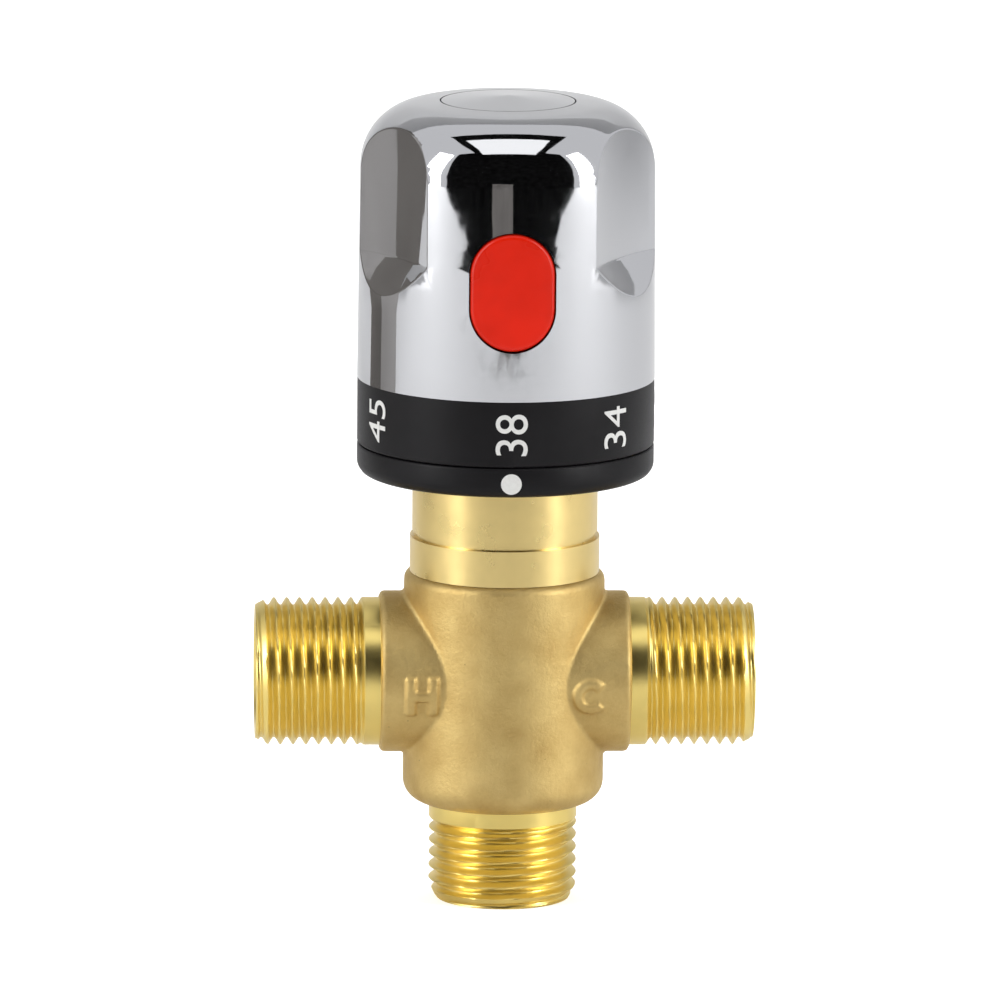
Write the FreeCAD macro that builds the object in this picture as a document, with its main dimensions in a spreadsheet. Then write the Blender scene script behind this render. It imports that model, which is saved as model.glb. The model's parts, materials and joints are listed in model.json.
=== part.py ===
import FreeCAD, Part
import math
import os
import Sketcher

# Thermostatic mixing valve with male inlets left and right and a male outlet below.
# Frame: the outlet's end is at z = 0 and the valve's axis is Z. The hot inlet points to -X, the cold
# inlet to +X, and the front, with the dot, the button and the letters, faces -Y. Millimetres.

Vector = FreeCAD.Vector
Rotation = FreeCAD.Rotation

SIZES = {
    # Heights on the valve's axis
    "outlet_length": 14.1,          # outlet thread and collar, up to the casting's underside
    "port_height": 32.5,            # axis of both inlets
    "body_above": 14.6,             # top of the casting, above the inlets' axis
    "neck_height": 14.1,            # bonnet in sight, from the casting to the pointer ring
    "pointer_height": 4.35,
    "ring_gap": 0.15,               # running gap between the pointer ring and the dial ring
    "dial_height": 9.3,
    "knob_height": 40.0,

    # Cast body
    "body_radius": 14.2,
    "body_foot_round": 3.0,
    "body_shoulder_round": 1.2,
    "thread_radius": 10.4775,       # G 1/2 pipe thread, outside
    "thread_chamfer": 0.8,
    "thread_depth": 1.0,            # grooves between the crests, drawn as rings
    "thread_crest": 0.5,            # flat left on each crest
    "thread_collar": 2.3,           # plain turned collar between a thread and the casting
    "port_reach": 35.2,             # inlet ends, from the valve's axis
    "boss_radius": 11.4,
    "boss_reach": 17.6,
    "boss_round": 0.6,
    "port_bore": 7.5,
    "mouth_chamfer": 0.5,
    "chamber_wall": 2.0,            # between the chamber and the inlet bores
    "slot_width": 8.0,              # slots from the inlet bores into the chamber
    "body_wall": 2.2,               # around the bonnet's thread
    "chamber_ledge": 1.0,           # from that thread in to the chamber
    "joint_seat_width": 1.0,        # counterbore for the bonnet's seal, around the thread
    "joint_seat_depth": 1.6,
    "letter_offset": 11.9,          # raised H and C, from the valve's axis
    "letter_drop": 1.5,             # and below the inlets' axis
    "letter_tall": 5.4,
    "letter_wide": 4.4,
    "letter_stroke": 1.2,
    "letter_proud": 0.5,

    # Bonnet, the turned neck
    "neck_step": 0.8,               # from the casting's side in to the neck
    "neck_upper_step": 0.3,
    "neck_lower_height": 5.9,
    "neck_groove_height": 0.8,
    "neck_groove_depth": 0.35,
    "bonnet_wall": 3.0,
    "bonnet_roof": 2.5,             # from the spindle's thrust face to the pointer ring
    "pointer_seat_step": 2.1,
    "pointer_seat_height": 2.3,
    "stop_seat_step": 2.4,
    "stop_seat_height": 4.7,

    # Cartridge
    "cage_below": 14.5,             # cage below the inlets' axis
    "cage_above": 8.5,              # and above it
    "cage_wall": 3.0,
    "cage_waist_depth": 1.0,
    "cage_mid_land": 2.8,
    "cage_plate": 2.0,              # plate that holds the adjusting nut's hexagon
    "window_height": 3.2,
    "window_land": 0.3,
    "window_width": 6.0,
    "waist_beyond_seat": 0.5,
    "cage_seal_rise": 4.0,
    "seat_lip": 1.3,                # the seats stand in from the cage's bore
    "spring_seat_lip": 1.8,
    "spring_seat_height": 1.3,
    "shuttle_height": 8.4,
    "seat_gap": 0.8,                # shuttle to each seat, at 38 degrees
    "shuttle_wall": 2.0,
    "shuttle_web_drop": 2.5,        # underside of the spokes below the inlets' axis
    "shuttle_web": 2.0,
    "shuttle_hub_radius": 3.9,
    "spoke_width": 2.0,
    "element_bulb_radius": 3.0,
    "element_bulb_length": 8.8,
    "element_flange_radius": 3.4,
    "element_flange": 1.2,
    "element_neck_radius": 2.6,
    "element_neck_length": 5.5,
    "element_guide_depth": 4.5,
    "pin_radius": 1.2,
    "pin_spare": 0.5,               # room below the pin in its guide
    "return_spring_gap": 1.3,       # from the wire's middle out to the seat's bore
    "return_spring_wire": 0.4,

    # Adjusting nut and overload spring
    "nut_flats": 11.3,
    "nut_hex_reach": 2.8,           # below the cage's top
    "nut_hex_above": 2.6,
    "nut_room": 1.15,               # above the nut, in the spindle's skirt
    "nut_pocket_radius": 4.4,
    "nut_roof": 1.2,
    "clip_rise": 0.7,
    "clip_thick": 0.7,
    "clip_bore": 3.4,
    "clip_bite": 0.4,
    "cup_flange": 1.4,
    "cup_stem_radius": 2.4,
    "cup_stem_height": 5.0,
    "cup_hole_depth": 3.2,
    "overload_spring_radius": 3.3,
    "overload_spring_wire": 0.55,

    # Spindle
    "skirt_gap": 0.3,
    "skirt_wall": 1.7,
    "skirt_rise": 1.0,              # skirt's lower end above the nut's hexagon
    "skirt_roof": 1.5,
    "shaft_radius": 5.0,
    "circlip_thick": 0.8,
    "circlip_radius": 7.0,
    "circlip_groove_depth": 1.05,
    "shaft_above_clip": 0.95,
    "spline_radius": 4.4,
    "spline_depth": 0.4,
    "spline_length": 16.2,
    "screw_hole_radius": 1.65,
    "screw_hole_depth": 11.0,

    # Stop ring
    "stop_plate": 2.0,
    "stop_plate_gap": 0.8,          # from the plate's edge out to the lug
    "stop_collar_wall": 1.6,
    "stop_collar_height": 3.5,
    "stop_rib_gap": 0.8,            # from the rib out to the dial ring
    "stop_rib_height": 3.4,
    "stop_rib_overlap": 1.2,        # the plate's edge reaches this far into the rib
    "stop_rib_angle": 129.0,
    "lug_angle": 30.0,
    "lug_bite": 1.8,                # the lug's share of the rib's width, where they meet
    "lug_height": 4.0,
    "hotter_angle": 105.0,          # knob turns this far from 38 towards hotter
    "stop_gap_angle": 0.5,

    # Pointer ring and dial ring, flush with the knob
    "pointer_web": 2.2,
    "pointer_rim": 2.0,
    "pointer_foot_round": 1.8,
    "dial_wall": 3.4,
    "dial_spigot_height": 3.6,
    "ring_edge_round": 0.3,

    # Knob
    "knob_radius": 21.0,
    "knob_wall": 2.35,
    "waist_lean": 0.26,             # the side leans in by this up to the waist
    "waist_drop": 9.2,              # from the knob's top down to the waist
    "waist_round": 9.5,
    "shoulder_lean": 1.67,          # and by this up to the shoulder
    "shoulder_round": 8.8,
    "crown_drop": 1.52,
    "flute_depth": 3.1,             # middle of a finger flute, below the knob's side
    "flute_curve_radius": 43.8,
    "flute_rise": 18.3,             # knob's lower edge to the flute's lower end
    "flute_ramp_height": 9.75,
    "flute_ramp_depth": 5.8,
    "flute_round": 1.0,
    "flute_edge_round": 0.5,
    "hub_wall": 2.6,
    "hub_rise": 1.0,
    "hub_web": 2.2,
    "well_gap": 1.1,                # from the screw's head out to the well's wall
    "cap_recess_radius": 9.6,
    "cap_recess_depth": 2.0,
    "cap_gap": 0.2,
    "cap_skirt_height": 4.0,
    "cap_skirt_wall": 1.0,
    "screw_head_radius": 3.5,
    "screw_head_height": 2.4,
    "screw_length": 11.0,
    "screw_drive_radius": 1.4,
    "screw_drive_depth": 1.3,

    # Button
    "button_height": 15.4,          # middle of the button above the knob's lower edge
    "button_wide": 11.8,
    "button_tall": 16.6,
    "button_gap": 0.2,
    "button_round": 0.7,
    "button_flange_lip": 0.9,
    "button_flange": 1.2,
    "button_flange_gap": 1.65,      # from the flange's middle out to the knob's wall
    "post_radius": 1.8,
    "post_room": 2.8,               # from the post's tip out to the flange
    "spring_pad_rim": 0.6,
    "stem_wall": 0.85,
    "stem_length": 4.2,
    "button_spring_radius": 3.45,
    "button_spring_wire": 0.35,
    "button_spring_length": 6.6,
    "catch_width": 6.0,
    "catch_gap": 0.3,
    "catch_setback": 0.6,           # from the leg's middle out to the dial ring

    # Check valve and strainer in each inlet, measured from the valve's axis
    "check_shelf": 1.5,             # from the inlet bore's end to the check valve
    "check_length": 12.0,
    "check_wall": 2.2,
    "check_seat_lip": 1.5,
    "check_seat": 1.5,
    "check_hub_radius": 2.4,
    "check_hub_length": 2.5,
    "check_spoke": 1.4,
    "check_seal_place": 7.5,
    "poppet_gap": 0.6,
    "poppet_disc": 1.25,
    "poppet_stem_radius": 1.2,
    "poppet_stem_spare": 1.3,       # stem past the hub's outer face
    "check_spring_radius": 3.0,
    "check_spring_wire": 0.3,
    "strainer_gap": 0.3,
    "strainer_rim": 1.8,
    "strainer_rim_wall": 0.9,
    "strainer_mesh": 0.5,
    "strainer_hole": 0.8,
    "strainer_pitch": 2.1,

    # Seals, and the clearances that the fits use
    "cage_seal_section": 0.85,
    "joint_seal_section": 0.45,
    "shuttle_seal_section": 0.45,
    "shaft_seal_section": 0.6,
    "check_seal_section": 0.7,
    "seal_clearance": 0.04,
    "running_clearance": 0.04,
    "seated_clearance": 0.05,
}

SPLINE_TEETH = 20
FLUTES = 3
WINDOWS = 6
SPOKES = 3
INLET_TURNS = 8                     # of the thread, on each inlet
OUTLET_TURNS = 6
OVERLAP = 3.0                       # letters and slots reach this far into what they join or cut


doc = FreeCAD.newDocument("mixing_valve")


def make_sheet():
    """The spreadsheet of driving sizes: a name in column A, its value in column B."""
    table = doc.addObject("Spreadsheet::Sheet", "Sizes")
    for row, (name, value) in enumerate(SIZES.items(), start=1):
        table.set("A%d" % row, name)
        table.set("B%d" % row, str(value))
        table.setAlias("B%d" % row, name)
    doc.recompute()
    return table


sheet = make_sheet()


class Length:
    """A size of the sheet, or a sum made of such sizes: its value now, and its expression."""

    def __init__(self, value, text):
        self.value = value
        self.text = text

    def __add__(self, other):
        other = as_length(other)
        return Length(self.value + other.value, "(%s + %s)" % (self.text, other.text))

    def __sub__(self, other):
        other = as_length(other)
        return Length(self.value - other.value, "(%s - %s)" % (self.text, other.text))

    def __mul__(self, factor):
        return Length(self.value * factor, "(%s * %.12g)" % (self.text, factor))

    def __neg__(self):
        return Length(-self.value, "(0 - %s)" % self.text)

    __radd__ = __add__


def as_length(number):
    """A plain number as a Length."""
    if isinstance(number, Length):
        return number
    return Length(float(number), "%.12g" % number)


def size(name):
    """The sheet's size of this name."""
    return Length(sheet.get(name), "Sizes." + name)


def bind(thing, **lengths):
    """Ties properties of an object to lengths."""
    for name, length in lengths.items():
        length = as_length(length)
        setattr(thing, name, length.value)
        thing.setExpression(name, length.text)


def put(thing, x=0, y=0, z=0, turn=None):
    """Places an object, turned first, with its base tied to lengths."""
    base = [as_length(number) for number in (x, y, z)]
    spot = Vector(*[number.value for number in base])
    thing.Placement = FreeCAD.Placement(spot, turn or Rotation())
    for axis, number in zip("xyz", base):
        thing.setExpression("Placement.Base." + axis, number.text)
    return thing


def about(axis, degrees):
    """A turn about an axis of the frame."""
    return Rotation(axis, degrees)


X_AXIS = Vector(1, 0, 0)
Y_AXIS = Vector(0, 1, 0)
Z_AXIS = Vector(0, 0, 1)
TO_COLD = about(Y_AXIS, 90)         # local Z becomes +X
TO_HOT = about(Y_AXIS, -90)         # local Z becomes -X
TO_FRONT = about(X_AXIS, 90)        # local Z becomes -Y


# ---- Sketches and solids ----

def origin_part(body, role):
    """One of a body's own origin planes or axes."""
    return next(part for part in body.Origin.OriginFeatures if part.Role == role)


def add_sketch(body, name, plane):
    """An empty sketch on one of the body's origin planes."""
    sketch = body.newObject("Sketcher::SketchObject", name)
    sketch.AttachmentSupport = [(origin_part(body, plane), "")]
    sketch.MapMode = "FlatFace"
    return sketch


def fix_point(sketch, shape, point, across, up):
    """Ties one point of a sketch to two lengths from the sketch's origin."""
    for kind, axis, length in (("DistanceX", -2, across), ("DistanceY", -1, up)):
        if abs(length.value) < 1e-9:
            sketch.addConstraint(Sketcher.Constraint("PointOnObject", shape, point, axis))
            continue
        index = sketch.addConstraint(Sketcher.Constraint(kind, shape, point, length.value))
        sketch.setExpression("Constraints[%d]" % index, length.text)


def corner_arc(before, corner, after, radius):
    """The rounding of a corner: its centre, where it starts and where it ends."""
    to_before = (before - corner).normalize()
    to_after = (after - corner).normalize()
    half = to_before.getAngle(to_after) / 2
    along = radius / math.tan(half)
    centre = corner + (to_before + to_after).normalize() * (radius / math.sin(half))
    return centre, corner + to_before * along, corner + to_after * along


def draw_outline(sketch, corners):
    """A closed outline of straight lines. A corner is (across, up) or (across, up, rounding)."""
    corners = [tuple(as_length(number) for number in corner) for corner in corners]
    spots = [Vector(corner[0].value, corner[1].value, 0) for corner in corners]
    count = len(corners)
    starts = list(spots)
    ends = list(spots)
    arcs = {}
    for index, corner in enumerate(corners):
        if len(corner) == 3:
            after = spots[(index + 1) % count]
            arc = corner_arc(spots[index - 1], spots[index], after, corner[2].value)
            arcs[index], ends[index], starts[index] = arc
    for index in range(count):
        sketch.addGeometry(Part.LineSegment(starts[index], ends[(index + 1) % count]))
    for index, corner in enumerate(corners):
        line_in = (index - 1) % count
        if index not in arcs:
            sketch.addConstraint(Sketcher.Constraint("Coincident", line_in, 2, index, 1))
            fix_point(sketch, index, 1, corner[0], corner[1])
            continue
        arriving = (line_in, ends[index])
        leaving = (index, starts[index])
        add_rounding(sketch, corner, spots[index], arcs[index], arriving, leaving)


def add_rounding(sketch, corner, spot, centre, arriving, leaving):
    """An arc tangent to two lines that meet at a corner, which stays as a point."""
    line_in, first = arriving
    line_out, last = leaving
    turn_left = (first - centre).cross(last - centre).z > 0
    low, high = (first, last) if turn_left else (last, first)
    angles = [math.atan2(end.y - centre.y, end.x - centre.x) for end in (low, high)]
    circle = Part.Circle(centre, Z_AXIS, (first - centre).Length)
    arc = sketch.addGeometry(Part.ArcOfCircle(circle, angles[0], angles[1]))
    arc_first, arc_last = (1, 2) if turn_left else (2, 1)
    sketch.addConstraint(Sketcher.Constraint("Tangent", line_in, 2, arc, arc_first))
    sketch.addConstraint(Sketcher.Constraint("Tangent", arc, arc_last, line_out, 1))
    point = sketch.addGeometry(Part.Point(spot), True)
    sketch.addConstraint(Sketcher.Constraint("PointOnObject", point, 1, line_in))
    sketch.addConstraint(Sketcher.Constraint("PointOnObject", point, 1, line_out))
    fix_point(sketch, point, 1, corner[0], corner[1])
    index = sketch.addConstraint(Sketcher.Constraint("Radius", arc, corner[2].value))
    sketch.setExpression("Constraints[%d]" % index, corner[2].text)


def turned(name, corners, **place):
    """A body turned about its own Z axis from an outline of (radius, height) corners."""
    body = doc.addObject("PartDesign::Body", name)
    sketch = add_sketch(body, name + "_outline", "XZ_Plane")
    draw_outline(sketch, corners)
    turn = body.newObject("PartDesign::Revolution", name + "_turned")
    turn.Profile = sketch
    turn.ReferenceAxis = (sketch, ["V_Axis"])
    turn.Angle = 360
    body.Tip = turn
    return put(body, **place)


def padded(name, corners, height, **place):
    """A body padded along its own Z axis from an outline."""
    body = doc.addObject("PartDesign::Body", name)
    sketch = add_sketch(body, name + "_outline", "XY_Plane")
    draw_outline(sketch, corners)
    pad = body.newObject("PartDesign::Pad", name + "_pad")
    pad.Profile = sketch
    bind(pad, Length=height)
    body.Tip = pad
    return put(body, **place)


def cylinder(name, radius, height, **place):
    """A cylinder along its own Z axis."""
    solid = doc.addObject("Part::Cylinder", name)
    bind(solid, Radius=radius, Height=height)
    return put(solid, **place)


def sector(name, radius, height, angle, **place):
    """A slice of a cylinder, from its own X axis round to an angle."""
    solid = cylinder(name, radius, height, **place)
    bind(solid, Angle=angle)
    return solid


def box(name, wide, deep, tall, **place):
    """A box from its lowest corner."""
    solid = doc.addObject("Part::Box", name)
    bind(solid, Length=wide, Width=deep, Height=tall)
    return put(solid, **place)


def hexagon(name, flats, height, **place):
    """A hexagonal bar of a given size across its flats."""
    solid = doc.addObject("Part::Prism", name)
    solid.Polygon = 6
    bind(solid, Circumradius=flats * (1 / math.sqrt(3)), Height=height)
    return put(solid, **place)


def torus(name, radius, section, **place):
    """A ring of round section about its own Z axis."""
    solid = doc.addObject("Part::Torus", name)
    bind(solid, Radius1=radius, Radius2=section)
    return put(solid, **place)


def fuse(name, *solids):
    """Several solids made one."""
    whole = doc.addObject("Part::MultiFuse", name)
    whole.Shapes = list(solids)
    whole.Refine = True
    return whole


def common(name, *solids):
    """What several solids share."""
    whole = doc.addObject("Part::MultiCommon", name)
    whole.Shapes = list(solids)
    return whole


def cut(name, base, *tools):
    """A solid less one or more others."""
    tool = tools[0] if len(tools) == 1 else fuse(name + "_tools", *tools)
    whole = doc.addObject("Part::Cut", name)
    whole.Base = base
    whole.Tool = tool
    whole.Refine = True
    return whole


def round_edges(name, base, radius, chosen):
    """A solid with the edges that a test picks rounded."""
    doc.recompute()
    picked = [number for number, edge in enumerate(base.Shape.Edges, start=1) if chosen(edge)]
    if not picked:
        raise RuntimeError("no edge of %s to round" % base.Name)
    rounded = doc.addObject("Part::Fillet", name)
    rounded.Base = base
    rounded.Edges = [(number, radius.value, radius.value) for number in picked]
    return rounded


def splined(name, tip, depth, height, **place):
    """A toothed bar: its outline runs from tip to root for each tooth."""
    corners = []
    for step in range(2 * SPLINE_TEETH):
        reach = tip if step % 2 == 0 else tip - depth
        angle = math.pi * step / SPLINE_TEETH
        corners.append((reach * math.cos(angle), reach * math.sin(angle)))
    return padded(name, corners, height, **place)


def spring(name, radius, wire, length, turns, **place):
    """A coil spring that fills a length along its own Z axis."""
    body = doc.addObject("PartDesign::Body", name)
    sketch = add_sketch(body, name + "_wire", "XZ_Plane")
    sketch.addGeometry(Part.Circle(Vector(radius.value, wire.value, 0), Z_AXIS, wire.value))
    fix_point(sketch, 0, 3, radius, wire)
    index = sketch.addConstraint(Sketcher.Constraint("Radius", 0, wire.value))
    sketch.setExpression("Constraints[%d]" % index, wire.text)
    coil = body.newObject("PartDesign::AdditiveHelix", name + "_coil")
    coil.Profile = sketch
    coil.ReferenceAxis = (sketch, ["V_Axis"])
    coil.Mode = "pitch-height-angle"
    climb = length - wire * 2
    bind(coil, Pitch=climb * (1 / turns), Height=climb)
    body.Tip = coil
    return put(body, **place)


def ring_groove(name, bore, section, middle):
    """The tool that cuts a seal's groove under a bore of this radius."""
    floor = bore - (section + size("seal_clearance")) * 2
    half = section + size("seal_clearance") * 2
    beyond = bore + 1
    low = middle - half
    high = middle + half
    corners = [(floor, low), (beyond, low), (beyond, high), (floor, high)]
    return turned(name, corners)


def o_ring(name, bore, section, **place):
    """A seal that lies in its groove under a bore."""
    return torus(name, bore - section - size("seal_clearance"), section, **place)


PIECES = []


def piece(solid, label):
    """Names a finished sub-part."""
    solid.Label = label
    PIECES.append(solid)
    return solid


# ---- Levels and radii that several pieces share ----

port_z = size("port_height")
chamber_floor = port_z - size("cage_below")
cage_top = port_z + size("cage_above")
body_top = port_z + size("body_above")
neck_top = body_top + size("neck_height")
pointer_top = neck_top + size("pointer_height")
dial_bottom = pointer_top + size("ring_gap")
dial_top = dial_bottom + size("dial_height")
knob_top = dial_top + size("knob_height")

shuttle_half = size("shuttle_height") * 0.5
cold_seat_z = port_z - shuttle_half - size("seat_gap")
hot_seat_z = port_z + shuttle_half + size("seat_gap")
hot_waist_top = hot_seat_z + size("waist_beyond_seat")
hot_waist_bottom = port_z + size("cage_mid_land") * 0.5
cold_waist_top = port_z - size("cage_mid_land") * 0.5
cold_waist_bottom = cold_seat_z - size("waist_beyond_seat")
cage_seal_levels = {
    "cage_seal_lower": chamber_floor + size("cage_seal_rise"),
    "cage_seal_middle": port_z,
    "cage_seal_upper": (hot_waist_top + cage_top) * 0.5,
}

nut_bottom = cage_top - size("nut_hex_reach")
nut_shoulder = cage_top + size("nut_hex_above")
clip_bottom = nut_bottom + size("clip_rise")
cup_bottom = clip_bottom + size("clip_thick")
cup_flange_top = cup_bottom + size("cup_flange")
pin_top = cup_bottom + size("cup_hole_depth")

bonnet_ledge = neck_top - size("bonnet_roof")
pointer_seat_top = neck_top + size("pointer_seat_height")
bonnet_top = pointer_seat_top + size("stop_seat_height")
skirt_bottom = nut_shoulder + size("skirt_rise")
skirt_top = bonnet_ledge - size("seated_clearance")
skirt_ceiling = skirt_top - size("skirt_roof")
nut_top = skirt_ceiling - size("nut_room")
circlip_bottom = bonnet_top + size("seated_clearance")
circlip_top = circlip_bottom + size("circlip_thick")
shaft_top = circlip_top + size("shaft_above_clip")
spindle_top = shaft_top + size("spline_length")
shaft_bore = size("shaft_radius") + size("running_clearance")

web_bottom = spindle_top + size("seated_clearance") * 2
web_top = web_bottom + size("hub_web")
cap_bottom = knob_top - size("cap_recess_depth")
button_z = dial_top + size("button_height")
rib_top = pointer_seat_top + size("stop_rib_height")

neck_radius = size("body_radius") - size("neck_step")
neck_upper_radius = neck_radius - size("neck_upper_step")
pointer_seat_radius = neck_upper_radius - size("pointer_seat_step")
stop_seat_radius = pointer_seat_radius - size("stop_seat_step")
bonnet_thread_radius = size("body_radius") - size("body_wall")
joint_seat_radius = bonnet_thread_radius + size("joint_seat_width")
bonnet_bore = bonnet_thread_radius - size("bonnet_wall")
skirt_radius = bonnet_bore - size("skirt_gap")
nut_barrel_radius = skirt_radius - size("skirt_wall")
chamber_radius = bonnet_thread_radius - size("chamber_ledge")
cage_waist_radius = chamber_radius - size("cage_waist_depth")
cage_bore = chamber_radius - size("cage_wall")
shuttle_bore = cage_bore - size("shuttle_wall")
seat_bore = cage_bore - size("seat_lip")
spring_seat_bore = seat_bore - size("spring_seat_lip")
return_spring_radius = seat_bore - size("return_spring_gap")

inlet_depth = chamber_radius + size("chamber_wall")
check_inner = inlet_depth + size("check_shelf")
check_bore = size("port_bore") - size("check_wall")
check_seat_bore = check_bore - size("check_seat_lip")
poppet_radius = check_bore - size("poppet_gap")

knob_radius = size("knob_radius")
knob_inside = knob_radius - size("knob_wall")
shoulder_radius = knob_radius - size("shoulder_lean")
dial_inside = knob_radius - size("dial_wall")
rib_radius = dial_inside - size("stop_rib_gap")
lug_radius = rib_radius - size("lug_bite")
stop_plate_radius = lug_radius - size("stop_plate_gap")
well_radius = size("screw_head_radius") + size("well_gap")
flange_front = knob_inside - size("button_flange_gap")
flange_back = flange_front - size("button_flange")
stem_end = flange_back - size("stem_length")
pad_face = flange_back - size("button_spring_length")
pad_radius = size("button_spring_radius") + size("button_spring_wire") + size("spring_pad_rim")
post_tip = flange_back - size("post_room")
catch_front = dial_inside - size("catch_setback")


# ---- Cast body ----

def thread_corners(low, high, turns):
    """The outline of a thread drawn as rings: each turn is a V groove, then a flat crest."""
    crest = size("thread_radius")
    root = crest - size("thread_depth")
    pitch = (high - low) * (1 / turns)
    half = (pitch - size("thread_crest")) * 0.5
    corners = []
    for turn in range(turns):
        foot = low + pitch * turn
        corners += [(crest, foot), (root, foot + half), (crest, foot + half * 2)]
    return corners


def port_form(name, turn):
    """One inlet, solid: its cast boss, and the collar and thread beyond it."""
    reach = size("port_reach")
    radius = size("thread_radius")
    chamfer = size("thread_chamfer")
    boss = size("boss_radius")
    boss_end = size("boss_reach")
    thread = thread_corners(boss_end + size("thread_collar"), reach - chamfer, INLET_TURNS)
    corners = [(0, 0), (boss, 0), (boss, boss_end, size("boss_round")), (radius, boss_end), *thread,
               (radius, reach - chamfer), (radius - chamfer, reach), (0, reach)]
    return turned(name, corners, z=port_z, turn=turn)


def inlet_bore(name, turn):
    """The waterway of one inlet, with a broken edge at its mouth."""
    reach = size("port_reach")
    bore = size("port_bore")
    break_edge = size("mouth_chamfer")
    corners = [(0, inlet_depth), (bore, inlet_depth), (bore, reach - break_edge),
               (bore + break_edge * 2, reach + break_edge), (0, reach + break_edge)]
    return turned(name, corners, z=port_z, turn=turn)


def inlet_slot(name, side, low, high):
    """The slot from an inlet's bore through the chamber's wall, beside the cage's waist."""
    inner = chamber_radius - OVERLAP
    deep = inlet_depth + 0.5 - inner
    start = inner if side > 0 else -(inner + deep)
    width = size("slot_width")
    return box(name, deep, width, high - low, x=start, y=width * -0.5, z=low)


def letter_prism(name, corners, middle):
    """A letter's limb, padded towards the front."""
    start = size("boss_radius") - OVERLAP
    depth = OVERLAP + size("letter_proud") + 1
    return padded(name, corners, depth, x=middle, y=-start, z=port_z - size("letter_drop"), turn=TO_FRONT)


def letter_h():
    """The raised H: two uprights and a bar."""
    wide = size("letter_wide") * 0.5
    tall = size("letter_tall") * 0.5
    stroke = size("letter_stroke")
    bar = stroke * 0.5
    corners = [(-wide, -tall), (stroke - wide, -tall), (stroke - wide, -bar), (wide - stroke, -bar),
               (wide - stroke, -tall), (wide, -tall), (wide, tall), (wide - stroke, tall),
               (wide - stroke, bar), (stroke - wide, bar), (stroke - wide, tall), (-wide, tall)]
    return letter_prism("letter_h", corners, -size("letter_offset"))


def letter_c():
    """The raised C: a ring with its right side open."""
    start = size("boss_radius") - OVERLAP
    depth = OVERLAP + size("letter_proud") + 1
    middle = port_z - size("letter_drop")
    outside = size("letter_tall") * 0.46
    opening = 90
    front = Rotation(X_AXIS, 90) * Rotation(Z_AXIS, opening / 2)
    spot = {"x": size("letter_offset"), "y": -start, "z": middle, "turn": front}
    ring = sector("letter_c_outside", outside, depth, 360 - opening, **spot)
    hole = cylinder("letter_c_inside", outside - size("letter_stroke"), depth, **spot)
    return cut("letter_c", ring, hole)


def chamber_form():
    """The waterway on the valve's axis: outlet, chamber, bonnet thread and seal seat."""
    bore = size("port_bore")
    break_edge = size("mouth_chamfer")
    seat_bottom = body_top - size("joint_seat_depth")
    corners = [
        (0, -break_edge), (bore + break_edge * 2, -break_edge), (bore, break_edge), (bore, chamber_floor),
        (chamber_radius, chamber_floor), (chamber_radius, cage_top), (bonnet_thread_radius, cage_top),
        (bonnet_thread_radius, seat_bottom), (joint_seat_radius, seat_bottom),
        (joint_seat_radius, body_top + 1), (0, body_top + 1)]
    return turned("body_waterway", corners)


def make_body():
    """The casting: one piece of brass with three male ends."""
    crest = size("thread_radius")
    chamfer = size("thread_chamfer")
    radius = size("body_radius")
    underside = size("outlet_length")
    thread_start = chamfer + size("thread_crest")
    thread_end = underside - size("thread_collar") + size("thread_crest")
    thread = thread_corners(thread_start, thread_end, OUTLET_TURNS)
    barrel = turned("body_barrel", [
        (0, 0), (crest - chamfer, 0), (crest, chamfer), *thread, (crest, underside),
        (radius, underside, size("body_foot_round")), (radius, body_top, size("body_shoulder_round")),
        (0, body_top)], turn=about(Z_AXIS, 90))
    skin = cylinder("letter_skin", size("boss_radius") + size("letter_proud"), size("boss_reach") * 2,
                    x=-size("boss_reach"), z=port_z, turn=TO_COLD)
    letters = common("letters", fuse("letter_limbs", letter_h(), letter_c()), skin)
    outside = fuse("body_outside", barrel, port_form("hot_end", TO_HOT), port_form("cold_end", TO_COLD),
                   letters)
    return piece(cut("body", outside, chamber_form(), inlet_bore("hot_bore", TO_HOT),
                     inlet_bore("cold_bore", TO_COLD),
                     inlet_slot("hot_slot", -1, hot_waist_bottom, hot_waist_top),
                     inlet_slot("cold_slot", 1, cold_waist_bottom, cold_waist_top)), "valve_body")


# ---- Bonnet: the turned neck ----

def make_bonnet():
    """The neck that screws into the casting, holds the cage down and carries the spindle."""
    thread = bonnet_thread_radius - size("seated_clearance")
    step = body_top + size("neck_lower_height")
    groove_floor = neck_upper_radius - size("neck_groove_depth")
    groove_bottom = step - size("neck_groove_height")
    outside = turned("bonnet_outside", [
        (shaft_bore, bonnet_top), (shaft_bore, bonnet_ledge), (bonnet_bore, bonnet_ledge),
        (bonnet_bore, cage_top), (thread, cage_top), (thread, body_top), (neck_radius, body_top),
        (neck_radius, groove_bottom), (groove_floor, groove_bottom), (groove_floor, step),
        (neck_upper_radius, step), (neck_upper_radius, neck_top), (pointer_seat_radius, neck_top),
        (pointer_seat_radius, pointer_seat_top),
        (stop_seat_radius - size("spline_depth"), pointer_seat_top),
        (stop_seat_radius - size("spline_depth"), bonnet_top)])
    teeth = splined("bonnet_teeth", stop_seat_radius, size("spline_depth"), size("stop_seat_height"),
                    z=pointer_seat_top)
    toothed = fuse("bonnet_toothed", outside, teeth)
    shaft_hole = cylinder("bonnet_hole", shaft_bore, bonnet_top - bonnet_ledge, z=bonnet_ledge)
    piece(cut("bonnet_cut", toothed, shaft_hole), "bonnet")
    section = size("joint_seal_section")
    middle = (thread + joint_seat_radius) * 0.5
    level = body_top - size("joint_seat_depth") * 0.5
    piece(torus("bonnet_seal_ring", middle, section, z=level), "bonnet_seal")


# ---- Cartridge ----

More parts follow.
